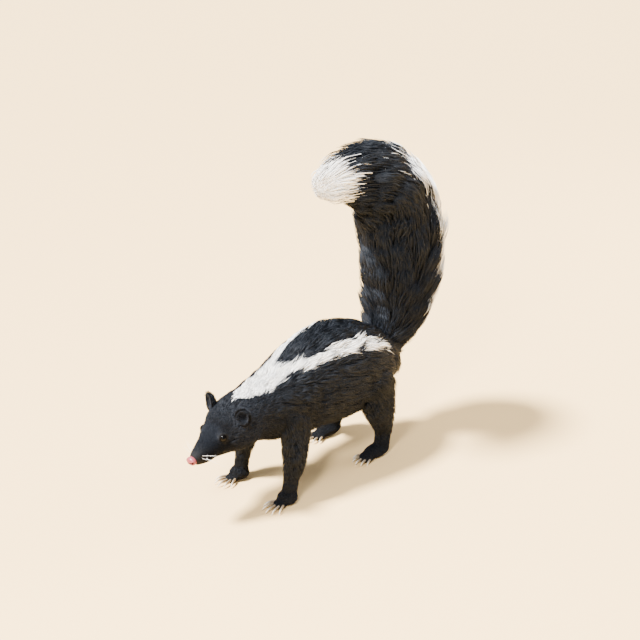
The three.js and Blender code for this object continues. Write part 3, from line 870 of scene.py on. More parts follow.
@dataclass(frozen=True)
class Markings:
    """Where the coat is white: a nape patch that splits into two stripes, a tail strip and the tail's tip.

    Places are distances along the trunk or tail, and widths are measured over the back from its middle line.
    As on most real ones, the two stripes aren't quite alike.
    """

    patch_places: tuple[float, ...] = (80, 88, 110, 140, 154)
    patch_widths: tuple[float, ...] = (0, 15, 24, 25, 22)
    stripe_places: tuple[float, ...] = (138, 156, 182, 196, 220, 245, 270, 300)
    left_centres: tuple[float, ...] = (11, 15, 31, 36, 43.5, 48, 51.5, 52)
    right_centres: tuple[float, ...] = (11, 15, 24, 27, 32, 39, 47, 51)
    stripe_ends: tuple[float, float] = (140, 307)
    stripe_half: float = 9.0
    stripe_taper: tuple[float, float] = (262, 310)
    tail_strip: tuple[float, float] = (24, 256)
    strip_half_degrees: float = 58.0
    strip_taper: float = 50.0  # how far the strip takes to grow from a third to its full width
    tip_from: float = 338.0

    def over_back(self, along: Array, degrees: Array) -> Array:
        """Gives how far places are from the middle line of the back, over its coat.

        Args:
            along: distances along the trunk.
            degrees: places round it.

        Returns:
            Each place's distance.
        """
        shares = np.linspace(0, 1, 9)
        turn = np.where(degrees > 270, degrees - 360, degrees)
        angles = 90 + (turn[:, None] - 90) * shares
        points = TRUNK.surface(np.repeat(along[:, None], len(shares), 1), angles)
        return np.linalg.norm(np.diff(points, axis=1), axis=-1).sum(1)

    def on_trunk(self, along: Array, degrees: Array, fray: Array) -> Array:
        """Tells whether places on the trunk are white.

        Args:
            along: distances along the trunk.
            degrees: places round it.
            fray: how far each place is shifted, so that the edges of the marks are uneven.

        Returns:
            True for each place that is white.
        """
        out = self.over_back(along, degrees) + fray
        place = along + 1.5 * fray
        widest = np.interp(place, self.patch_places, self.patch_widths)
        patch = (out < widest) & (place > self.patch_places[0]) & (place < self.patch_places[-1])
        left = np.interp(place, self.stripe_places, self.left_centres)
        right = np.interp(place, self.stripe_places, self.right_centres)
        centre = np.where(np.cos(np.radians(degrees)) > 0, left, right)
        half = self.stripe_half * (1 - smooth(*self.stripe_taper, place) * 0.6)
        first, last = self.stripe_ends
        return patch | (np.abs(out - centre) < half) & (place > first) & (place < last)

    def on_tail(self, along: Array, degrees: Array, fray: Array) -> Array:
        """Tells whether places on the tail are white.

        Args:
            along: distances along the tail.
            degrees: places round it.
            fray: how far each place is shifted, so that the edges of the marks are uneven.

        Returns:
            True for each place that is white.
        """
        first, last = self.tail_strip
        half = self.strip_half_degrees * (0.35 + 0.65 * smooth(first, first + self.strip_taper, along))
        strip = (np.abs(degrees - 270) < half + fray) & (along > first) & (along < last + 3 * fray)
        return strip | (along + 2 * fray > self.tip_from)


MARKINGS = Markings()


# The feet

TOE_BACK = {-2: 6.5, -1: 1.5, 0: 0.0, 1: 1.2, 2: 5.0}  # how far behind the middle toe each one is


@dataclass(frozen=True)
class Foot:
    """A foot: its palm and toes as rounded forms, with a claw ahead of each toe."""

    name: str
    palm_at: tuple[float, float, float]
    palm_halves: tuple[float, float, float]
    toe_halves: tuple[float, float, float]
    toe_reach: float
    toe_spread: float
    toe_high: float
    claw_long: float
    claw_thick: float

    def toe(self, index: int, flip: Array) -> tuple[Array, Array]:
        """Gives where a toe is.

        Args:
            index: which toe it is, from -2 to 2.
            flip: what turns a place on the left into one on this side.

        Returns:
            Its middle, and the direction that it points in.
        """
        turn = math.radians(self.toe_spread * index)
        ahead = np.array([math.sin(turn), -math.cos(turn), 0.0])
        at = np.array([self.palm_at[0], self.palm_at[1], 0.0]) + ahead * (self.toe_reach - TOE_BACK[index])
        at[2] = self.toe_high
        return at * flip, ahead * flip


FEET = (
    Foot("fore", (LEFT_X, 1, 7.5), (14.5, 15.5, 10), (3.7, 8.2, 4.6), 17, 13.5, 4.2, 13, 1.9),
    Foot("hind", (LEFT_X, HIND_Y + 2, 7), (14, 26, 9.5), (3.8, 8, 4.6), 26, 11, 4.2, 8, 1.8),
)


@dataclass
class Claws:
    """The twenty claws: curved horn cones, one piece for each."""

    rows: int = 18
    sides: int = 12
    flat: float = 0.72
    rooted: float = 4.5  # how far inside the toe's end a claw starts
    arch: tuple[float, float, float] = (4.6, 6.7, 4.7)  # heights that its curve is drawn towards
    clear: float = 1.1  # how far its tip stays above the floor
    lowest: float = 0.3  # how far the horn stays above the floor

    def path(self, foot: Foot, index: int, flip: Array) -> Array:
        """Gives a claw's middle line as one cubic curve, from inside the toe to its tip.

        Args:
            foot: the claw's foot.
            index: which toe it is on, from -2 to 2.
            flip: what turns a place on the left into one on this side.

        Returns:
            The points of the line.
        """
        at, ahead = foot.toe(index, flip)
        end, long = foot.toe_halves[1], foot.claw_long
        places = (end - self.rooted, end + long * 0.35, end + long * 0.75, end + long)
        heights = (*self.arch, self.clear)
        base = np.array([at[0], at[1], 0])
        a, b, c, d = (base + ahead * away + UPWARDS * up for away, up in zip(places, heights))
        v = np.linspace(0, 1, self.rows)[:, None]
        return (1 - v) ** 3 * a + 3 * v * (1 - v) ** 2 * b + 3 * v**2 * (1 - v) * c + v**3 * d

    def build(self, material: Material) -> int:
        """Builds every claw in place of its solid.

        Args:
            material: the claws' finish.

        Returns:
            How many claws there are.
        """
        v = np.linspace(0, 1, self.rows)
        reach = np.concatenate([np.repeat(v, self.sides), [0, 1]])
        toes = [(foot, side, index) for foot in FEET for side in SIDES for index in sorted(TOE_BACK)]
        for place, (foot, side, index) in enumerate(toes):
            radii = foot.claw_thick * (1 - 0.9 * v**1.7)
            points, quads, triangles = tube(self.path(foot, index, SIDES[side]), radii, self.sides, self.flat)
            points[:, 2] = np.maximum(points[:, 2], self.lowest)
            node = f"{foot.name}claw_{side}_{place % len(TOE_BACK) + 1}"
            mesh = mesh_of(f"horn_{node}", (points, quads, triangles))
            set_value(mesh, "reach", smooth(0.25, 0.9, reach))
            add_piece(f"horn_{node}", mesh, "claw_horn", material, node)
        return len(toes)


# The hide


@dataclass
class Hide:
    """One skin over the whole body, which lies inside the solids by the coat's depth.

    The swept parts and the feet are joined by a voxel remesh and smoothed, so that no seam shows.
    """

    voxel_mm: float = 1.35
    smoothing: int = 18
    foot_smoothing: int = 3
    foot_top: float = 22.0
    sole: float = 0.8  # how far the soles stay above the floor
    spacing: float = 2.5
    sides: int = 72
    palm_inset: float = 2.0
    toe_inset: tuple[float, float, float] = (1.9, 0.6, 0.6)
    rim: tuple[float, float, float] = (5.0, 1.4, 1.7)  # the socket's: how far out and ahead, and how thick

    def foot_forms(self, foot: Foot, flip: Array) -> list[Skin]:
        """Gives the forms of one foot.

        Args:
            foot: the foot.
            flip: what turns a place on the left into one on this side.

        Returns:
            The closed skins of its palm and its toes.
        """
        directions = ball(14, 24)
        palm = np.array(foot.palm_at) + directions * (np.array(foot.palm_halves) - self.palm_inset)
        made = [capped(palm * flip)]
        wide, long, high = np.array(foot.toe_halves) - np.array(self.toe_inset)
        for index in TOE_BACK:
            at, ahead = foot.toe(index, flip)
            across = np.array([-ahead[1], ahead[0], 0])
            toe = at + directions[..., :1] * across * wide + directions[..., 1:2] * ahead * long
            made.append(capped(toe + directions[..., 2:] * np.array([0, 0, high])))
        return made

    def socket(self, flip: Array) -> Skin:
        """Gives the raised rim round an eye.

        Args:
            flip: what turns a place on the left into one on this side.

        Returns:
            The rim, as a closed ring.
        """
        out, forward, thick = self.rim
        side, up = basis(EYE_FACE)
        turn = full_turn(32)
        spoke = np.cos(turn)[:, None] * side + np.sin(turn)[:, None] * up
        rings = [
            EYE_AT + EYE_FACE * (forward + thick * math.sin(a)) + spoke * (out + thick * math.cos(a))
            for a in full_turn(12)
        ]
        return looped(np.array(rings) * flip)

    def forms(self) -> list[Skin]:
        """Gives the forms that the skin is made over.

        Returns:
            The closed skins of the swept parts, the feet and the eyes' sockets.
        """
        made = []
        degrees = np.linspace(0, 360, self.sides, endpoint=False)[None]
        for part, sweep in SWEEPS.items():
            along = np.linspace(0, sweep.length, int(sweep.length / self.spacing))[:, None]
            made.append(capped(sweep.surface(along, degrees, hide_depth(part, along))))
        for foot in FEET:
            for flip in SIDES.values():
                made += self.foot_forms(foot, flip)
        return made + [self.socket(flip) for flip in SIDES.values()]

    def relaxed(self, points: Array, edges: Array) -> Array:
        """Smooths the skin, over the feet less often than elsewhere.

        Args:
            points: its points, in metres.
            edges: the two points of each edge.

        Returns:
            The smoothed points.
        """
        count = len(points)
        ends = np.concatenate([edges[:, 0], edges[:, 1]])
        others = np.concatenate([edges[:, 1], edges[:, 0]])
        number = np.maximum(np.bincount(ends, minlength=count), 1)[:, None]
        keep = points[:, 2] < self.foot_top * MM
        for step in range(self.smoothing):
            mean = np.stack([np.bincount(ends, points[others, k], count) for k in range(3)], -1) / number
            moved = (points + mean) / 2
            points = np.where((keep & (step >= self.foot_smoothing))[:, None], points, moved)
        return points

    def build(self) -> Mesh:
        """Builds the joined, smoothed skin.

        Returns:
            Its mesh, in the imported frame.
        """
        rough = bpy.data.objects.new("hide_rough", mesh_of("hide_rough", joined(self.forms())))
        bpy.context.scene.collection.objects.link(rough)
        remesh = rough.modifiers.new("join", "REMESH")
        remesh.mode = "VOXEL"
        remesh.voxel_size = self.voxel_mm * MM
        whole = bpy.data.meshes.new_from_object(rough.evaluated_get(bpy.context.evaluated_depsgraph_get()))
        bpy.data.objects.remove(rough)
        edges = read_values(whole.edges, "vertices", 2, np.int32)
        points = self.relaxed(read_values(whole.vertices, "co", 3, np.float32).astype(float), edges)
        points[:, 2] = np.maximum(points[:, 2], self.sole * MM)
        whole.vertices.foreach_set("co", points.astype(np.float32).ravel())
        whole.polygons.foreach_set("use_smooth", np.ones(len(whole.polygons), bool))
        whole.update()
        whole.name = "hide"
        return whole

    def mark(self, hide: Mesh) -> None:
        """Stores where the hide is pale, which is where the hair over it is white.

        Args:
            hide: the hide's mesh.
        """
        points = read_values(hide.vertices, "co", 3, np.float32).astype(float) / MM - SHIFT
        still = np.zeros(len(points))
        near = 4.0  # a point this far outside a part isn't on it
        shaded = 60.0  # the first length of the tail is bare under its strip, and its hide stays black there as painted shade
        along, degrees, outside = TRUNK.locate(points, lambda a: hide_depth(Part.TRUNK, a))
        pale = MARKINGS.on_trunk(along, degrees, still) & (outside < near)
        along, degrees, outside = TAIL.locate(points, lambda a: hide_depth(Part.TAIL, a))
        pale |= MARKINGS.on_tail(along, degrees, still) & (outside < near) & (along > shaded)
        set_value(hide, "white", pale.astype(float))


LIMB_NODES = [f"{limb}_{side}" for limb in ("foreleg", "hindleg", "forepaw", "hindpaw") for side in SIDES]
HIDE_NODES = ("head", "neck", "torso", "tail_root", "tail_middle", "tail_bend", "tail_tip", *LIMB_NODES)


# The lie of the coat over the hide


@dataclass
class CoatField:
    """What the coat does at every face of the hide: its lie, its depth and length, and where it is.

    Attributes:
        hide: the hide.
        blend_mm: how softly one part's coat runs into the next one's.
        centres, normals: each face's middle and outward direction, in the animal's frame.
        lie: the direction that the hair runs in, along the face.
        deep: how far the hair's tips stand above the hide.
        long: how long the hair is.
        part: the swept part that the face belongs to most.
        along, degrees: the face's place on that part.
        trunk_along, trunk_degrees: its place on the trunk.
        on_leg: whether it is on a leg.
        foot: 1 on the feet, 0 above them.
        to_mouth: how far it is from the line of the mouth.
    """

    hide: Mesh
    blend_mm: float = 7.0

    # How long the hair is: a share of the coat's depth, and what is added
    TRUNK_HAIR = (2.2, 1.0)
    TAIL_HAIR = (1.45, 14.0)
    LEG_HAIR = (1.5, 4.5)
    FOOT_HAIR = (5.5, 1.7)  # its length and depth on the ankles
    TOE_LESS = (2.7, 1.1)  # how much less both are on the toes
    RUMP_HAIR = (17, 3)  # how much longer and deeper the hair is under the tail
    # How far round each of these the skin is bare, and how high up on the soles
    NOSE_BARE, EYE_BARE, MOUTH_BARE, SOLE_BARE = 6.4, 4.3, 1.3, 2.5
    # From where to where the coat changes, along the trunk and ahead of its end
    FLANKS = (60, 130)
    RUMP = (45, 5)
    # The same in height: at a foot's top, over the shank, and down to the toes
    FOOT_TOP = (18, 30)
    SHANK = (16, 56)
    TOES = (15, 9)
    # The same away from the nose, an eye and the mouth, near which the hair is shorter
    NOSE_FUR = (5, 22)
    EYE_FUR = (5.5, 13)
    MOUTH_FUR = (1.5, 8)
    EYE_SWIRL = (1.3, 7.5)  # how strongly the hair turns away from an eye, and how far round it
    FALL = (0.3, 1.2)  # how strongly the hair hangs on the flanks and on the rump
    REAR_MORE = (0.35, 0.5)  # how much longer and deeper the hair is behind the legs
    FOOT_LIE = (0.0, -0.9, -0.4)

    def __post_init__(self) -> None:
        """Works out the field on the hide."""
        mesh = self.hide
        self.corners = read_values(mesh.loops, "vertex_index", 1, np.int32)
        self.starts = read_values(mesh.polygons, "loop_start", 1, np.int32)
        self.sizes = read_values(mesh.polygons, "loop_total", 1, np.int32)
        self.areas = read_values(mesh.polygons, "area", 1, np.float32) / MM**2
        self.points = read_values(mesh.vertices, "co", 3, np.float32).astype(float) / MM - SHIFT
        self.centres = np.add.reduceat(self.points[self.corners], self.starts) / self.sizes[:, None]
        outward = read_values(mesh.vertices, "normal", 3, np.float32)
        self.normals = unit(np.add.reduceat(outward[self.corners], self.starts))
        self.settle()
        self.settle_legs()
        self.settle_face()
        self.lie = unit(self.lie - (self.lie * self.normals).sum(-1, keepdims=True) * self.normals)
        polygons = [self.corners[s : s + n].tolist() for s, n in zip(self.starts, self.sizes)]
        self.tree = BVHTree.FromPolygons([Vector(p) for p in self.points], polygons)

    def settle(self) -> None:
        """Blends the parts' lies, depths and lengths, and finds each face's place on its own part."""
        weights, lies, depths, lengths, places = [], [], [], [], []
        for part, sweep in SWEEPS.items():
            along, degrees, outside = sweep.locate(self.centres, lambda a, p=part: hide_depth(p, a))
            coat = sweep.column(along, 6, 7)[:, 0]
            lie = sweep.axes(along)[1]
            deep = coat * hide_depth(part, along)
            share, more = self.TAIL_HAIR
            if part is Part.TRUNK:
                flank = np.abs(np.cos(np.radians(degrees))) * smooth(*self.FLANKS, along)
                far, near = self.RUMP
                rump = smooth(sweep.length - far, sweep.length - near, along)
                lie = lie - (self.FALL[0] * flank + self.FALL[1] * rump)[:, None] * UPWARDS
                share, more = self.TRUNK_HAIR[0], self.TRUNK_HAIR[1] + self.RUMP_HAIR[0] * rump
                deep = deep + self.RUMP_HAIR[1] * rump
            elif part is not Part.TAIL:
                lie = lie + np.array([0.0, 0.3, 0.0])
                share, more = self.LEG_HAIR
                deep = 0.95 * coat
            weights.append(np.exp(-((np.maximum(outside, 0) / self.blend_mm) ** 2)) + 1e-9)
            lies.append(unit(lie))
            depths.append(deep)
            lengths.append(share * coat + more)
            places.append((along, degrees))
        weight = np.array(weights)
        self.part = weight.argmax(0)
        weight = weight**2 / (weight**2).sum(0)
        self.lie = (weight[..., None] * np.array(lies)).sum(0)
        self.long = (weight * np.array(lengths)).sum(0)
        self.deep = (weight * np.array(depths)).sum(0)
        self.on_leg = (weight[Part.FORELEG_LEFT.value : Part.TAIL.value] > 0.5).any(0)
        every = np.arange(len(self.part))
        self.along, self.degrees = (np.array(values)[self.part, every] for values in zip(*places))
        self.trunk_along, self.trunk_degrees = places[Part.TRUNK.value]

    def settle_legs(self) -> None:
        """Makes the hair longer behind the legs, and short over the feet, where it points forwards."""
        rear = np.maximum(self.normals[:, 1], 0)
        longer, deeper = self.REAR_MORE
        deep = self.deep * np.where(self.on_leg, 1 + deeper * rear, 1)
        long = self.long * np.where(self.on_leg, 1 + longer * rear, 1)
        height = self.centres[:, 2]
        self.foot = 1 - smooth(*self.FOOT_TOP, height)
        shank = smooth(*self.SHANK, height)
        low = smooth(*self.TOES, height)
        self.lie = self.lie * (1 - self.foot)[:, None] + self.foot[:, None] * np.array(self.FOOT_LIE)
        self.long = long * shank + (self.FOOT_HAIR[0] - self.TOE_LESS[0] * low) * (1 - shank)
        self.deep = deep * shank + (self.FOOT_HAIR[1] - self.TOE_LESS[1] * low) * (1 - shank)

    def settle_face(self) -> None:
        """Shortens the hair round the nose, the eyes and the mouth, and turns it away from the eyes."""
        short = 0.45 + 0.55 * smooth(*self.NOSE_FUR, np.linalg.norm(self.centres - NOSE_AT, axis=1))
        turned, wide = self.EYE_SWIRL
        for flip in SIDES.values():
            away = self.centres - EYE_AT * flip
            apart = np.linalg.norm(away, axis=1)
            self.lie = self.lie + turned * np.exp(-((apart / wide) ** 2))[:, None] * unit(away)
            short = np.minimum(short, 0.4 + 0.6 * smooth(*self.EYE_FUR, apart))
        self.to_mouth = self.mouth_distance()
        short = np.minimum(short, 0.45 + 0.55 * smooth(*self.MOUTH_FUR, self.to_mouth))
        self.long, self.deep = self.long * short, self.deep * short

    def mouth_distance(self) -> Array:
        """Gives how far each face is from the line of the mouth.

        Returns:
            The distances, which are one large number behind the head.
        """
        line = Lips().line(0.0)
        line = np.vstack([line, line * MIRROR])
        apart = np.full(len(self.centres), 99.0)
        near = np.flatnonzero(self.centres[:, 1] < EYE_AT[1] + 30)
        for block in np.array_split(near, 8):
            apart[block] = np.sqrt(((self.centres[block][:, None] - line) ** 2).sum(-1).min(1))
        return apart

    def bare(self) -> Array:
        """Tells where the skin is bare: on the nose, round the eyes, along the mouth and on the soles.

        Returns:
            True for each face that has no hair.
        """
        at = self.centres
        bare = (at[:, 2] < self.SOLE_BARE) & (self.normals[:, 2] < -0.3) | (self.to_mouth < self.MOUTH_BARE)
        bare |= np.linalg.norm(at - NOSE_AT, axis=1) < self.NOSE_BARE
        for flip in SIDES.values():
            bare |= np.linalg.norm(at - (EYE_AT + EYE_FACE * 1.5) * flip, axis=1) < self.EYE_BARE
        return bare

    def nearest(self, points: Array) -> tuple[Array, Array]:
        """Finds the hide's nearest place to each point, and the face that it is on."""
        found = [self.tree.find_nearest(point) for point in points.tolist()]
        return np.array([f[0] for f in found]), np.array([f[2] for f in found])

    def sample(self, count: int, density: Array, random: Random) -> tuple[Array, Array]:
        """Draws roots over the hide.

        Args:
            count: how many roots to draw.
            density: how many of them each face should get for its area.
            random: the random numbers.

        Returns:
            The roots and the face that each is on.
        """
        chance = density * self.areas
        chance = np.cumsum(chance / chance.sum())
        draws = (np.arange(count) + random.random(count)) / count
        faces = np.minimum(np.searchsorted(chance, draws), len(chance) - 1)
        start = self.starts[faces]
        pick = start + random.integers(1, self.sizes[faces] - 1)
        a, b, c = (self.points[self.corners[at]] for at in (start, pick, pick + 1))
        u, v = random.random(count)[:, None], random.random(count)[:, None]
        flip = u + v > 1
        u, v = np.where(flip, 1 - u, u), np.where(flip, 1 - v, v)
        return a + (b - a) * u + (c - a) * v, faces


# Tufts


def steps(count: int) -> Array:
    """Gives the shares of a tuft's length at which its points lie, closer together towards its tip."""
    return np.linspace(0, 1, count) ** 0.8


@dataclass
class Tufts:
    """Many tufts of hair at once, each along its own line of points.

    Attributes:
        paths: the middle lines, by tuft and by place along it.
        ups: the outward direction at each of those points.
        wide: each tuft's width.
        white: whether each tuft is white.
        place: each tuft's root on an unwrap of the part that it grows on, from 0 to 1 each way.
    """

    paths: Array
    ups: Array
    wide: Array
    white: Array
    place: Array

    PATCH = 0.003  # size of a tuft's patch on the unwrap
    MARGIN = 0.005  # how far the unwrap stays inside its edges
    THICK = 0.4  # a tuft's thickness as a share of its width
    TWIST = 18  # how far a tuft is rolled about its line, in degrees
    LOWEST = 0.4  # how far the hair stays above the floor

    def pick(self, chosen: Array) -> "Tufts":
        """Gives some of the tufts."""
        values = (self.paths, self.ups, self.wide, self.white, self.place)
        return Tufts(*(some[chosen] for some in values))

    def gather(self, random: Random, spacing: float, pull: float) -> None:
        """Draws the tips of neighbouring tufts together into locks.

        Args:
            random: the random numbers.
            spacing: how far apart the locks' middles are.
            pull: how far a tip moves towards its lock's tip, as a share of the way.
        """
        cell = np.floor((self.paths[:, 0] + random.random(3) * spacing) / spacing).astype(int)
        group = np.unique(cell, axis=0, return_inverse=True)[1].ravel()
        leaders = np.zeros(group.max() + 1, int)
        order = random.permutation(len(group))
        leaders[group[order]] = order
        lead = self.paths[leaders[group]]
        share = steps(self.paths.shape[1]) ** 1.4
        strength = pull * (0.6 + 0.8 * random.random(len(group)))
        self.paths = self.paths + (lead - self.paths) * (strength[:, None] * share)[..., None]

    def blades(self, random: Random) -> Skin:
        """Makes the tufts as closed, three-sided blades that swell a little and taper to a point.

        Args:
            random: the random numbers.

        Returns:
            The skin of all of them.
        """
        count, points = self.paths.shape[:2]
        rows = points - 1
        v = steps(points)[:-1]
        profile = (0.75 + 0.5 * np.sin(np.pi * np.minimum(v * 1.2, 1)) ** 0.8) * (1 - v**2.6)
        tangent = unit(np.gradient(self.paths, axis=1))
        across = unit(np.cross(tangent, self.ups))
        out = np.cross(across, tangent)
        twist = np.radians(random.normal(0, self.TWIST, count))[:, None, None]
        c, s = np.cos(twist), np.sin(twist)
        across, out = across * c + out * s, out * c - across * s
        half = (self.wide[:, None] * profile / 2)[..., None]
        middle, side, ridge = self.paths[:, :-1], across[:, :-1] * half, out[:, :-1] * half * 2 * self.THICK
        sections = np.stack([middle - side, middle + side, middle + ridge], 2)
        vertices = np.concatenate([sections.reshape(count, rows * 3, 3), self.paths[:, -1:]], 1)
        vertices[..., 2] = np.maximum(vertices[..., 2], self.LOWEST)
        end = (rows - 1) * 3
        triangles = [(2, 1, 0)] + [(end + k, end + (k + 1) % 3, end + 3) for k in range(3)]
        base = (np.arange(count) * (rows * 3 + 1))[:, None, None]
        quads = base + grid_faces(rows, 3)
        return vertices.reshape(-1, 3), quads.reshape(-1, 4), (base + np.array(triangles)).reshape(-1, 3)

    def mesh(self, name: str, random: Random) -> Mesh:
        """Makes the tufts' mesh.

        Args:
            name: the mesh's name.
            random: the random numbers.

        Returns:
            The mesh, with its unwrap and the numbers that its material reads.
        """
        count, points = self.paths.shape[:2]
        mesh = mesh_of(name, self.blades(random))
        reach = np.concatenate([np.repeat(steps(points)[:-1], 3), [1.0]])
        across = np.concatenate([np.tile([-1.0, 1.0, 0.0], points - 1), [0.0]])
        set_value(mesh, "reach", np.tile(reach, count))
        set_value(mesh, "across", np.tile(across, count))
        set_value(mesh, "tone", np.repeat(random.random(count) ** 1.5, len(reach)))
        local = np.stack([across / 2, reach - 0.5], -1) * self.PATCH
        uv = (self.MARGIN + (1 - 2 * self.MARGIN) * self.place[:, None] + local).reshape(-1, 2)
        layer = mesh.uv_layers.new(name="OFBake")
        corners = read_values(mesh.loops, "vertex_index", 1, np.int32)
        layer.uv.foreach_set("vector", uv[corners].astype(np.float32).ravel())
        return mesh


class Tone(Enum):
    """The two colours of the coat."""

    BLACK = "black"
    WHITE = "white"


@dataclass(frozen=True)
class CoatRegion:
    """How the tufts of one region of the coat are made.

    Attributes:
        name, white_name: what its black and its white pieces are called.
        count: how many tufts it has.
        sections: how many points a tuft's line has.
        wide: a tuft's width as a share of its length, and its least and greatest width.
        stray: how far a tuft turns from the lie of the coat, in degrees.
        lock: how far apart locks are, and how far the tips are drawn together.
        lift: how high a tuft's tip stands, as a share of the coat's depth, least and greatest.
        dull: whether its black hair has the short hair's finish.
    """

    name: str
    white_name: str
    count: int
    sections: int
    wide: tuple[float, float, float]
    stray: float
    lock: tuple[float, float]
    lift: tuple[float, float]
    dull: bool = False


FACE = CoatRegion(
    "coat_face", "white_face_hairs", 22000, 2, (0.12, 0.45, 0.75), 8, (4, 0.1), (0.3, 0.75), dull=True
)
CROWN = CoatRegion(
    "coat_crown", "white_crown", 17500, 3, (0.07, 0.45, 1.05), 9, (7, 0.3), (0.35, 0.95), dull=True
)
TORSO = CoatRegion(
    "coat_body", "white_nape_and_stripes", 47000, 3, (0.036, 0.8, 1.5), 9, (12, 0.5), (0.3, 1.12)
)
LEG = CoatRegion("coat_legs", "white_leg_hairs", 17000, 3, (0.07, 0.6, 1.25), 9, (8, 0.35), (0.4, 1.1))
PAW = CoatRegion(
    "coat_feet", "white_foot_hairs", 9000, 3, (0.14, 0.55, 0.9), 12, (3.5, 0.15), (0.35, 0.95), dull=True
)
PLUME = CoatRegion(
    "coat_tail", "white_tail_strip_and_tip", 28000, 4, (0.03, 1.25, 2.1), 10, (17, 0.6), (0.5, 1.1)
)
PIECE_LIMIT = 190_000  # triangles in one piece of the coat


@dataclass
class Coat:
    """The coat of hair over the hide."""

    growth: CoatField
    black: Material
    white: Material
    short: Material
    random: Random = field(default_factory=lambda: np.random.default_rng(SEED))

    FRAY = 1.6  # how uneven the marks' edges are on the body
    ROOTED = 0.8  # how far under the hide a tuft starts
    SAG = 0.12  # how far long hair under the belly hangs, as a share of its length
    # The same for the tail, and what only its tufts have
    TAIL_FRAY = 3.5
    TAIL_ROOTED = 0.03  # as a share of the coat's depth
    FORWARD = 0.93  # how far a tuft runs along the tail, as a share of its length
    COLOURED = 0.62  # where along a tuft its colour is taken
    PLUME_FROM = 14  # where along the tail its long hair starts
    FULL_TIP = (300, 365)  # from where to where along the tail its tufts come to end at any depth
    END_SHORT = (7, 5)  # how far short of the tail's end the outer tufts stop, and how much that varies
    # How far the tail's rear stands out, and from where to where: round it, from its root and to its tip
    REAR_PROUD = 4.5
    REAR_ROUND, REAR_START, REAR_END = (85, 25), (10, 90), (340, 250)

    def grown(
        self,
        region: CoatRegion,
        paths: list[Array],
        ups: list[Array],
        long: Array,
        white: Array,
        faces: Array,
    ) -> Tufts:
        """Puts grown tufts together.

        Args:
            region: how the tufts are made.
            paths, ups: their lines' points and the outward directions there, from the roots to the tips.
            long: their lengths, which their widths are drawn from.
            white: whether each one is white.
            faces: the hide's face under each root, which gives its place on the unwrap.

        Returns:
            The tufts.
        """
        f = self.growth
        length = np.array([sweep.length for sweep in SWEEPS.values()])[f.part[faces]]
        place = np.clip(np.stack([f.along[faces] / length, f.degrees[faces] / 360], -1), 0, 1)
        share, least, most = region.wide
        wide = np.clip(share * long, least, most) * (0.8 + 0.4 * self.random.random(len(long)))
        return Tufts(np.stack(paths, 1), np.stack(ups, 1), wide, white, place)

    def follow(self, region: CoatRegion, roots: Array, faces: Array) -> Tufts:
        """Grows tufts over the hide, each one following the lie of the coat from its root.

        Args:
            region: how the tufts are made.
            roots: where they grow.
            faces: the hide's face under each root.

        Returns:
            The tufts.
        """
        f, random, count = self.growth, self.random, len(roots)
        long = f.long[faces] * (0.72 + 0.42 * random.random(count))
        low, high = region.lift
        deep = f.deep[faces] * (low + (high - low) * random.random(count) ** 0.7)
        stray = np.radians(random.normal(0, region.stray, count))[:, None]
        at, face = roots, faces
        shares = steps(region.sections)
        run = np.sqrt(np.maximum(long**2 - deep**2, (0.5 * long) ** 2))
        sag = self.SAG * smooth(0.2, -0.8, f.normals[faces][:, 2]) * smooth(12, 30, long)
        paths, ups = [roots - f.normals[faces] * self.ROOTED], [f.normals[faces]]
        middle = None
        for before, share in zip(shares[:-1], shares[1:]):
            lie, up = f.lie[face], f.normals[face]
            lie = lie * np.cos(stray) + np.cross(up, lie) * np.sin(stray)
            step = run * (share - before)
            at, face = f.nearest(at + lie * step[:, None])
            up = f.normals[face]
            rise = up * (deep * (1 - (1 - share) ** 2.2))[:, None]
            paths.append(at + rise - UPWARDS * (sag * long * share**2)[:, None])
            ups.append(up)
            if middle is None and share >= 0.5:
                middle = face
        fray = random.normal(0, self.FRAY, count)
        white = MARKINGS.on_trunk(f.trunk_along[middle], f.trunk_degrees[middle], fray)
        white &= f.part[middle] == Part.TRUNK.value
        return self.grown(region, paths, ups, long, white, faces)

    def plume(self, region: CoatRegion, roots: Array, faces: Array) -> Tufts:
        """Grows the tail's long tufts, which leave its core, bend over and run to its tip.

        Args:
            region: how the tufts are made.
            roots: where they grow.
            faces: the hide's face under each root.

        Returns:
            The tufts.
        """
        f, random, count = self.growth, self.random, len(roots)
        along, degrees = f.along[faces], f.degrees[faces]
        low, high = region.lift
        tip = 1 - (low + (high - low) * random.random(count) ** 0.6)
        long = f.long[faces] * (0.7 + 0.45 * random.random(count))
        tip += 1.1 * smooth(*self.FULL_TIP, along + self.FORWARD * long) * random.random(count)
        before, more = self.END_SHORT
        past = before * np.clip(tip, 0, 1) + more * random.random(count) - before
        long = np.minimum(long, (TAIL.length - along + past) / self.FORWARD)
        root = hide_depth(Part.TAIL, along) + self.TAIL_ROOTED
        drift = random.normal(0, region.stray, count)
        rear = smooth(*self.REAR_ROUND, np.abs(degrees - 270))
        rear = rear * smooth(*self.REAR_START, along) * smooth(*self.REAR_END, along)
        paths, ups = [], []
        for v in steps(region.sections):
            depth = tip + (root - tip) * (1 - v) ** 1.9
            place = along + self.FORWARD * long * v, degrees + drift * v
            proud = self.REAR_PROUD * rear * v
            at = BRUSH.surface(*place, depth, proud)
            paths.append(at)
            ups.append(unit(BRUSH.surface(*place, depth - 0.2, proud) - at))
        fray = random.normal(0, self.TAIL_FRAY, count)
        white = MARKINGS.on_tail(along + self.COLOURED * long, degrees, fray)
        return self.grown(region, paths, ups, long, white, faces)

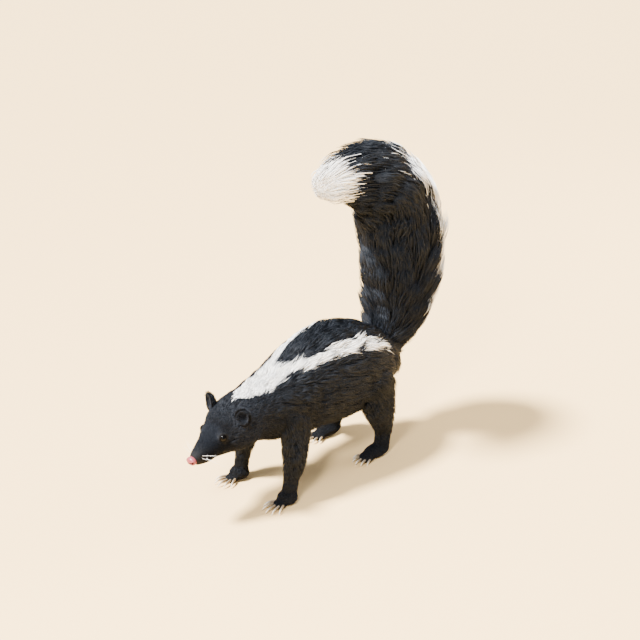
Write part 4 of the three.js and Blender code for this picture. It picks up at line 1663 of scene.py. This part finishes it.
    def lay(self, region: CoatRegion, tufts: Tufts) -> int:
        """Makes a region's tufts as pieces, each of them under the limit.

        Args:
            region: the region.
            tufts: its tufts.

        Returns:
            How many triangles the pieces have.
        """
        tufts.gather(self.random, *region.lock)
        each = (region.sections - 2) * 6 + 4
        black = self.short if region.dull else self.black
        total = 0
        tones = ((Tone.BLACK, region.name, black), (Tone.WHITE, region.white_name, self.white))
        for tone, stem, material in tones:
            index = np.flatnonzero(tufts.white == (tone is Tone.WHITE))
            index = index[np.argsort(tufts.place[index, 0], kind="stable")]
            parts = math.ceil(len(index) * each / PIECE_LIMIT)
            for number in range(parts):
                some = np.array_split(index, parts)[number]
                name = f"{stem}_{number + 1}" if parts > 1 else stem
                add_piece(name, tufts.pick(some).mesh(name, self.random), f"{tone.value}_fur", material)
                total += len(some) * each
        return total

    def build(self) -> int:
        """Builds the whole coat.

        Returns:
            How many triangles it has.
        """
        f = self.growth
        grows = np.where(f.bare(), 0.0, f.long**-0.8)
        on_trunk, on_tail = f.part == Part.TRUNK.value, f.part == Part.TAIL.value
        is_plume = on_tail & (f.along > self.PLUME_FROM)
        on_leg = ~on_trunk & ~on_tail
        back = f.trunk_along
        # How much of each region's hair grows at a face, where the regions run into each other
        shares = {
            FACE: on_trunk * smooth(62, 42, back),
            CROWN: on_trunk * smooth(40, 60, back) * smooth(114, 88, back),
            TORSO: on_trunk * smooth(86, 112, back) + (on_tail & ~is_plume),
            LEG: on_leg * smooth(0.9, 0.2, f.foot),
            PAW: on_leg * smooth(0.05, 0.6, f.foot),
            PLUME: is_plume,
        }
        total = 0
        for region, share in shares.items():
            count = int(region.count * (1))
            roots, faces = f.sample(count, share * grows, self.random)
            tufts = (self.plume if region is PLUME else self.follow)(region, roots, faces)
            made = self.lay(region, tufts)
            LOG.info("%s: %d tufts, %d triangles", region.name, len(roots), made)
            total += made
        return total


# The head's own pieces


@dataclass
class Eyes:
    """The eyes: a ball with a slightly bulging cornea in each socket, under a rim of lid."""

    radius: float = EYE_RADIUS
    cornea: float = 0.35
    opening: tuple[float, float] = (50.0, 40.0)  # half of the gap between the lids, along and across
    # The lid's section: degrees past the opening, and the distance from the eye's middle in eye radii
    section: tuple[tuple[float, float], ...] = (
        (0, 0.97), (-2, 1.03), (0, 1.08), (6, 1.11), (15, 1.11), (27, 1.05), (38, 0.94), (20, 0.88),
    )

    def eyeball(self, at: Array, face: Array) -> tuple[Skin, Array]:
        """Makes an eyeball.

        Args:
            at: its middle.
            face: the direction that it looks in.

        Returns:
            Its skin, and each point's angle from its axis, in degrees.
        """
        side, up = basis(face)
        directions = ball(34, 48)
        polar = np.degrees(np.arccos(np.clip(directions[..., 2], -1, 1)))
        radius = self.radius + self.cornea * (1 - smooth(20, 48, polar))
        turned = directions[..., :1] * side + directions[..., 1:2] * up + directions[..., 2:] * face
        points, quads, triangles = capped(at + turned * radius[..., None])
        points[-2] = at + face * (self.radius + self.cornea)
        points[-1] = at - face * self.radius
        return (points, quads, triangles), np.concatenate([polar.ravel(), [0, 180]])

    def lid(self, at: Array, face: Array, back: Array) -> Skin:
        """Makes the rim of lid round an eye: a closed ring that hugs the ball and runs under the fur.

        Args:
            at: the eye's middle.
            face: the direction that it looks in.
            back: the direction that the gap between the lids runs in.

        Returns:
            The rim's skin.
        """
        along = unit(back - (back @ face) * face)
        across = np.cross(face, along)
        turn = full_turn(64)
        wide, high = self.opening
        edge = 1 / np.sqrt((np.cos(turn) / wide) ** 2 + (np.sin(turn) / high) ** 2)
        spoke = np.cos(turn)[:, None] * along + np.sin(turn)[:, None] * across
        rings = []
        for more, share in self.section:
            polar = np.radians(edge + more)
            direction = np.cos(polar)[:, None] * face + np.sin(polar)[:, None] * spoke
            rings.append(at + direction * self.radius * share)
        return looped(np.array(rings))

    def build(self, wet: Material, skin: Material) -> None:
        """Builds both eyes and their lids in place of the eyes' solids.

        Args:
            wet: the eyes' finish.
            skin: the lids' finish.
        """
        back = np.array([0.0, math.cos(HEAD_PITCH), math.sin(HEAD_PITCH)])
        for name, flip in SIDES.items():
            eyeball, polar = self.eyeball(EYE_AT * flip, EYE_FACE * flip)
            mesh = mesh_of(f"eyeball_{name}", eyeball)
            set_value(mesh, "polar", polar)
            add_piece(f"eyeball_{name}", mesh, "eye_gloss", wet, f"eye_{name}")
            lid = mesh_of(f"lids_{name}", self.lid(EYE_AT * flip, EYE_FACE * flip, back))
            add_piece(f"lids_{name}", lid, "black_fur", skin)


@dataclass
class NosePad:
    """The nose: a rounded pad with two comma-shaped nostrils and a groove down its middle."""

    halves: tuple[float, float, float] = (6.9, 5.2, 5.4)
    nostril_out: float = 2.7
    nostril_deep: float = 3.2
    nostril_sweep: float = 4.2
    nostril_half: float = 1.5
    nostril_taper: float = 0.7
    comma: tuple[float, float, float] = (-0.1, 1.5, 1.3)  # where a nostril starts, its rise and how late
    rim_rise: float = 0.35
    rim_ring: tuple[float, float] = (1.9, 0.8)  # how far round a nostril its rim is, and how wide
    groove_deep: float = 0.55
    groove_half: float = 0.5

    def build(self, material: Material) -> None:
        """Builds the nose in place of its solid.

        Args:
            material: its finish.
        """
        up = np.array([0, -math.sin(HEAD_PITCH), math.cos(HEAD_PITCH)])
        ahead = np.array([0, -math.cos(HEAD_PITCH), -math.sin(HEAD_PITCH)])
        directions = ball(96, 128)
        wide, long, high = self.halves
        x, z, y = directions[..., 0] * wide, directions[..., 1] * high, directions[..., 2] * long
        front = smooth(-0.2, 0.5, directions[..., 2])
        y = y * (1 - 0.12 * front * smooth(0.3, 1.0, directions[..., 2]))
        x = x * (1 + 0.1 * smooth(-1, 1.5, z) * front)
        out = np.abs(x) - self.nostril_out
        slide = np.clip(out / self.nostril_sweep, 0, 1)
        low, rise, late = self.comma
        gap = np.hypot(np.minimum(out, 0), z - (low + rise * slide**late))
        thin = self.nostril_taper * slide
        hole = np.exp(-((gap / (self.nostril_half - thin)) ** 4)) * (1 - thin) * front
        groove = self.groove_deep * np.exp(-((x / self.groove_half) ** 2)) * smooth(1.6, -0.8, z) * front
        at, half = self.rim_ring
        rim = self.rim_rise * np.exp(-(((gap - at) / half) ** 2)) * front
        sunk = self.nostril_deep * hole + groove - rim
        x = x * (1 - 0.04 * hole)
        points = NOSE_AT + x[..., None] * LEFTWARDS + z[..., None] * up + (y - sunk)[..., None] * ahead
        mesh = mesh_of("nose", capped(points))
        # the nostrils are painted darker inside, as shade, the more so the deeper they sink
        set_value(mesh, "hollow_shade", np.concatenate([np.clip(hole * 1.2, 0, 1).ravel(), [0, 0]]))
        add_piece("nose", mesh, "nose_skin", material, "nose_pad")


@dataclass
class Lips:
    """The lips: an upper and a lower band of dark skin along the mouth, parted by its line."""

    front: float = 6.0
    corner: float = 37.0
    low: float = -80.0
    high: float = -24.0
    part_mm: float = 0.8
    radius: float = 0.9
    lower: float = 0.9  # the lower lip's thickness as a share of the upper one's
    proud: float = -0.1

    def line(self, offset: float, count: int = 40) -> Array:
        """Gives a line along the mouth, from the front to the left corner.

        Args:
            offset: how far it is above the mouth's own line, or below it if negative.
            count: how many points it has.

        Returns:
            The points of the line.
        """
        share = np.linspace(0, 1, count)
        back = self.front + (self.corner - self.front) * share - HEAD_START
        degrees = self.low + (self.high - self.low) * share**0.7
        radius = TRUNK.column(back, 3, 4)[:, 0]
        turn = np.degrees(offset * (1 - 0.6 * smooth(0.8, 1, share)) / radius)
        return TRUNK.surface(back, degrees + turn, 1.0, self.proud)

    def build(self, material: Material) -> None:
        """Builds the lips of both sides as one piece.

        Args:
            material: their finish.
        """
        parts = []
        for offset, radius in ((self.part_mm, self.radius), (-self.part_mm, self.radius * self.lower)):
            line = self.line(offset)
            whole = np.vstack([(line * MIRROR)[::-1], line[1:]])
            share = np.abs(np.linspace(-1, 1, len(whole)))
            parts.append(tube(whole, radius * (1 - 0.65 * share**3)))
        add_piece("lips", mesh_of("lips", joined(parts)), "black_fur", material)


@dataclass
class Ears:
    """The ears: rounded cups, open to the front and side, furred outside and along the rim."""

    halves: tuple[float, float] = (10.0, 10.8)
    turn: tuple[float, float, float] = (-12.0, 34.0, 20.0)
    cup: float = 6.6
    thick: float = 0.75
    forward: float = 1.6  # how far ahead of its root the cup's rim is
    wave: float = 0.3  # how far the rim waves back and forth
    tufts: int = 2000
    hair_long: float = 3.8
    hair_wide: tuple[float, float] = (0.5, 0.35)  # least, and how much more at most

    def axes(self) -> Array:
        """Gives the left ear's own axes.

        Returns:
            The directions out, back and up, as columns.
        """
        whole = np.eye(3)
        for axis, degrees in enumerate(self.turn):
            first, second = ((1, 2), (2, 0), (0, 1))[axis]
            turn = np.eye(3)
            angle = math.radians(degrees)
            turn[first, first] = turn[second, second] = math.cos(angle)
            turn[second, first] = math.sin(angle)
            turn[first, second] = -math.sin(angle)
            whole = whole @ turn
        return whole

    def shell(self, share: Array, turn: Array, inner: bool) -> Array:
        """Gives points of the cup in the ear's own axes.

        Args:
            share: how far they are from the cup's middle (0) to its rim (1).
            turn: where they are round it, in radians.
            inner: whether they are on its inner side.

        Returns:
            The points.
        """
        wide, tall = self.halves
        x = wide * share * np.cos(turn) * (1 - 0.1 * np.sin(turn) * share)
        z = tall * share * np.sin(turn)
        back = self.cup * (1 - share**2.2) - self.forward
        thick = self.thick * (1 - 0.55 * share**3)
        lean = self.wave * np.sin(3 * turn + 0.6) * share**4
        return np.stack([x, back + lean + (-thick if inner else thick), z], -1)

    def build(self, skin: Material, hair: Material, random: Random) -> None:
        """Builds both ears in place of their solids, with short hair over them.

        Args:
            skin: the cups' finish.
            hair: the hair's finish.
            random: the random numbers.
        """
        share = np.linspace(0.04, 1, 16)
        turn = full_turn(56)[None]
        outside, inside = self.shell(share[:, None], turn, False), self.shell(share[::-1, None], turn, True)
        rings = np.concatenate([outside, inside])
        axes = self.axes()
        for name, flip in SIDES.items():
            cup = mesh_of(f"ear_cup_{name}", capped((EAR_AT + rings @ axes.T) * flip))
            add_piece(f"ear_cup_{name}", cup, "ear_fur", skin, f"ear_{name}")
            tufts = self.hair(axes, flip, random)
            add_piece(f"coat_ear_{name}", tufts.mesh(f"coat_ear_{name}", random), "ear_fur", hair)

    def hair(self, axes: Array, flip: Array, random: Random) -> Tufts:
        """Grows an ear's hair: short over its back and rim, and a sparse fringe inside the cup.

        Args:
            axes: the left ear's own axes.
            flip: what turns a place on the left into one on this side.
            random: the random numbers.

        Returns:
            The tufts.
        """
        count = self.tufts
        share = np.sqrt(random.random(count))
        turn = random.random(count) * 2 * np.pi
        inner = random.random(count) < 0.5
        share = np.where(inner, 0.2 + 0.78 * random.random(count) ** 0.7, share)
        root = np.where(inner[:, None], self.shell(share, turn, True), self.shell(share, turn, False))
        out = np.where(inner, -1.0, 1.0)[:, None] * np.array([0, 1.0, 0])
        radial = np.stack([np.cos(turn), np.zeros(count), np.sin(turn)], -1)
        up = unit(out + radial * (share**2)[:, None] * np.where(inner, -0.4, 0.9)[:, None])
        spread = np.where(inner, -0.9 * share, 0.9)[:, None]
        lie = unit(UPWARDS + radial * spread + random.normal(0, 0.18, (count, 3)))
        long = self.hair_long * (0.7 + 0.5 * random.random(count))
        v = steps(3)[:, None]
        lift = np.where(inner, 0.3, 0.28)[:, None, None]
        paths = root[:, None] + long[:, None, None] * (lie[:, None] * v + up[:, None] * lift * v**0.6)
        paths[:, 0] -= up * 0.3
        place = np.stack([share * 0.98, turn / (2 * np.pi)], -1)
        world = (EAR_AT + paths @ axes.T) * flip
        ups = np.repeat(((up @ axes.T) * flip)[:, None], 3, 1)
        least, more = self.hair_wide
        return Tufts(world, ups, least + more * random.random(count), np.zeros(count, bool), place)


@dataclass
class Whiskers:
    """The whiskers: stiff pale bristles that sweep back from each side of the muzzle."""

    rows: tuple[tuple[float, float, int], ...] = ((14.0, 30.0, 1), (12.0, 14.0, 2), (16.0, 0.0, 1))
    spacing: float = 5.5
    long: tuple[float, float] = (20.0, 34.0)
    radius: float = 0.15
    proud: float = -0.8  # how far outside the hide a whisker starts
    stray: float = 0.07  # how far it strays from its row's direction
    bend: tuple[float, float, float] = (-0.06, 0.38, -0.14)  # how far a tip is bent, in whisker lengths

    def build(self, material: Material, random: Random) -> None:
        """Builds both sides' whiskers as one piece.

        Args:
            material: their finish.
            random: the random numbers.
        """
        parts = []
        v = np.linspace(0, 1, 12)
        least, most = self.long
        for flip in SIDES.values():
            for row, (back, degrees, count) in enumerate(self.rows):
                for k in range(count):
                    place = back + k * self.spacing - HEAD_START, degrees, 1.0
                    root, under = TRUNK.surface(*place, self.proud), TRUNK.surface(*place, -4.0)
                    out = unit(root - under)
                    sweep = np.array([0.6, 0.2 * k / count, 0.2 - 0.12 * row])
                    aim = unit(out + sweep + random.normal(0, self.stray, 3))
                    long = least + (most - least) * (0.35 + 0.65 * random.random()) * (0.6 + 0.2 * k)
                    bend = np.array(self.bend) * long
                    path = root + aim * long * v[:, None] + bend * (v**2)[:, None]
                    parts.append(tube(path * flip, self.radius * (1 - 0.85 * v), 6))
        mesh = mesh_of("whiskers", joined(parts))
        set_value(mesh, "reach", np.ones(len(mesh.vertices)))
        set_value(mesh, "tone", np.zeros(len(mesh.vertices)))
        add_piece("whiskers", mesh, "white_fur", material)


# The studio


class LampKind(Enum):
    """The kinds of light."""

    SUN = "SUN"
    AREA = "AREA"


@dataclass(frozen=True)
class Lamp:
    """A soft light that faces the animal: where it stands, how wide it is, and its strength.

    Places and sizes are in metres, and a sun's size is an angle in radians.
    """

    name: str
    kind: LampKind
    at: tuple[float, float, float]
    size: float
    power: float

    AIM = Vector((0, 0, 0.2))  # what the lamps are turned to

    def build(self) -> None:
        """Adds the light."""
        data = bpy.data.lights.new(self.name, self.kind.value)
        data.energy = self.power
        if self.kind is LampKind.SUN:
            data.angle = self.size
        else:
            data.shape = "DISK"
            data.size = self.size
        lamp = bpy.data.objects.new(self.name, data)
        lamp.location = self.at
        lamp.rotation_euler = (Vector(self.at) - self.AIM).to_track_quat("Z", "Y").to_euler()
        bpy.context.scene.collection.objects.link(lamp)


LAMPS = (
    Lamp("key", LampKind.SUN, (-0.5, -0.62, 1.55), math.radians(11), 22.5),
    Lamp("catchlight", LampKind.AREA, (0.5, -1.0, 1.1), 0.28, 30),
    Lamp("rim", LampKind.AREA, (0.5, 1.7, 1.2), 0.8, 30),
)


@dataclass
class Studio:
    """A plain pale floor, soft light, and the camera at the photograph's viewing angle."""

    azimuth: float = math.radians(43.9)
    elevation: float = math.radians(21.6)
    distance: float = 1139.25
    target: tuple[float, float, float] = (102.48, 0.0, 262.185)
    lens: float = 57.09
    sensor: float = 36.0
    clip: tuple[float, float] = (0.05, 30.0)  # in metres
    floor_half: float = 40.0  # in metres
    air: str = "#e9effb"

    def camera(self) -> None:
        """Sets the camera."""
        level = math.cos(self.elevation)
        x, y = math.sin(self.azimuth) * level, -math.cos(self.azimuth) * level
        back = Vector((x, y, math.sin(self.elevation)))
        data = bpy.data.cameras.new("view")
        data.lens = self.lens
        data.sensor_width = self.sensor
        data.clip_start, data.clip_end = self.clip
        camera = bpy.data.objects.new("view", data)
        camera.location = Vector(to_frame(self.target)) + back * self.distance * MM
        camera.rotation_euler = back.to_track_quat("Z", "Y").to_euler()
        bpy.context.scene.collection.objects.link(camera)
        bpy.context.scene.camera = camera

    def build(self) -> None:
        """Builds the floor, the lights and the camera."""
        half = self.floor_half
        mesh = bpy.data.meshes.new("floor")
        corners = [(-half, -half, 0), (half, -half, 0), (half, half, 0), (-half, half, 0)]
        mesh.from_pydata(corners, [], [(0, 1, 2, 3)])
        mesh.materials.append(Paper().build())
        floor = bpy.data.objects.new("floor", mesh)
        bpy.context.scene.collection.objects.link(floor)
        world = bpy.data.worlds.new("studio")
        world.use_nodes = True
        background = world.node_tree.nodes["Background"].inputs
        background["Color"].default_value = linear(self.air)
        background["Strength"].default_value = 1.0
        bpy.context.scene.world = world
        for lamp in LAMPS:
            lamp.build()
        self.camera()


def main() -> None:
    """Builds the skunk piece by piece and reports each one."""
    logging.basicConfig(level=logging.INFO, format="%(name)s: %(message)s")
    random = np.random.default_rng(SEED + 1)
    Studio().build()
    black, white, short = BLACK_HAIR.build(), WHITE_HAIR.build(), SHORT_HAIR.build()

    maker = Hide()
    hide = maker.build()
    coat_field = CoatField(hide)
    maker.mark(hide)
    add_piece("hide", hide, "black_fur", Pelt().build(), *HIDE_NODES)
    LOG.info("hide: %d faces", len(hide.polygons))

    Eyes().build(WetEye().build(), LID_LEATHER.build())
    NosePad().build(NOSE_LEATHER.build())
    Lips().build(LIP_LEATHER.build())
    Ears().build(EAR_LEATHER.build(), short, random)
    Whiskers().build(WHISKER_HAIR.build(), random)
    LOG.info("head: eyes, lids, nose, lips, ears and whiskers")
    LOG.info("claws: %d", Claws().build(Horn().build()))
    LOG.info("coat: %d triangles", Coat(coat_field, black, white, short).build())


if __name__ == "__main__":
    main()
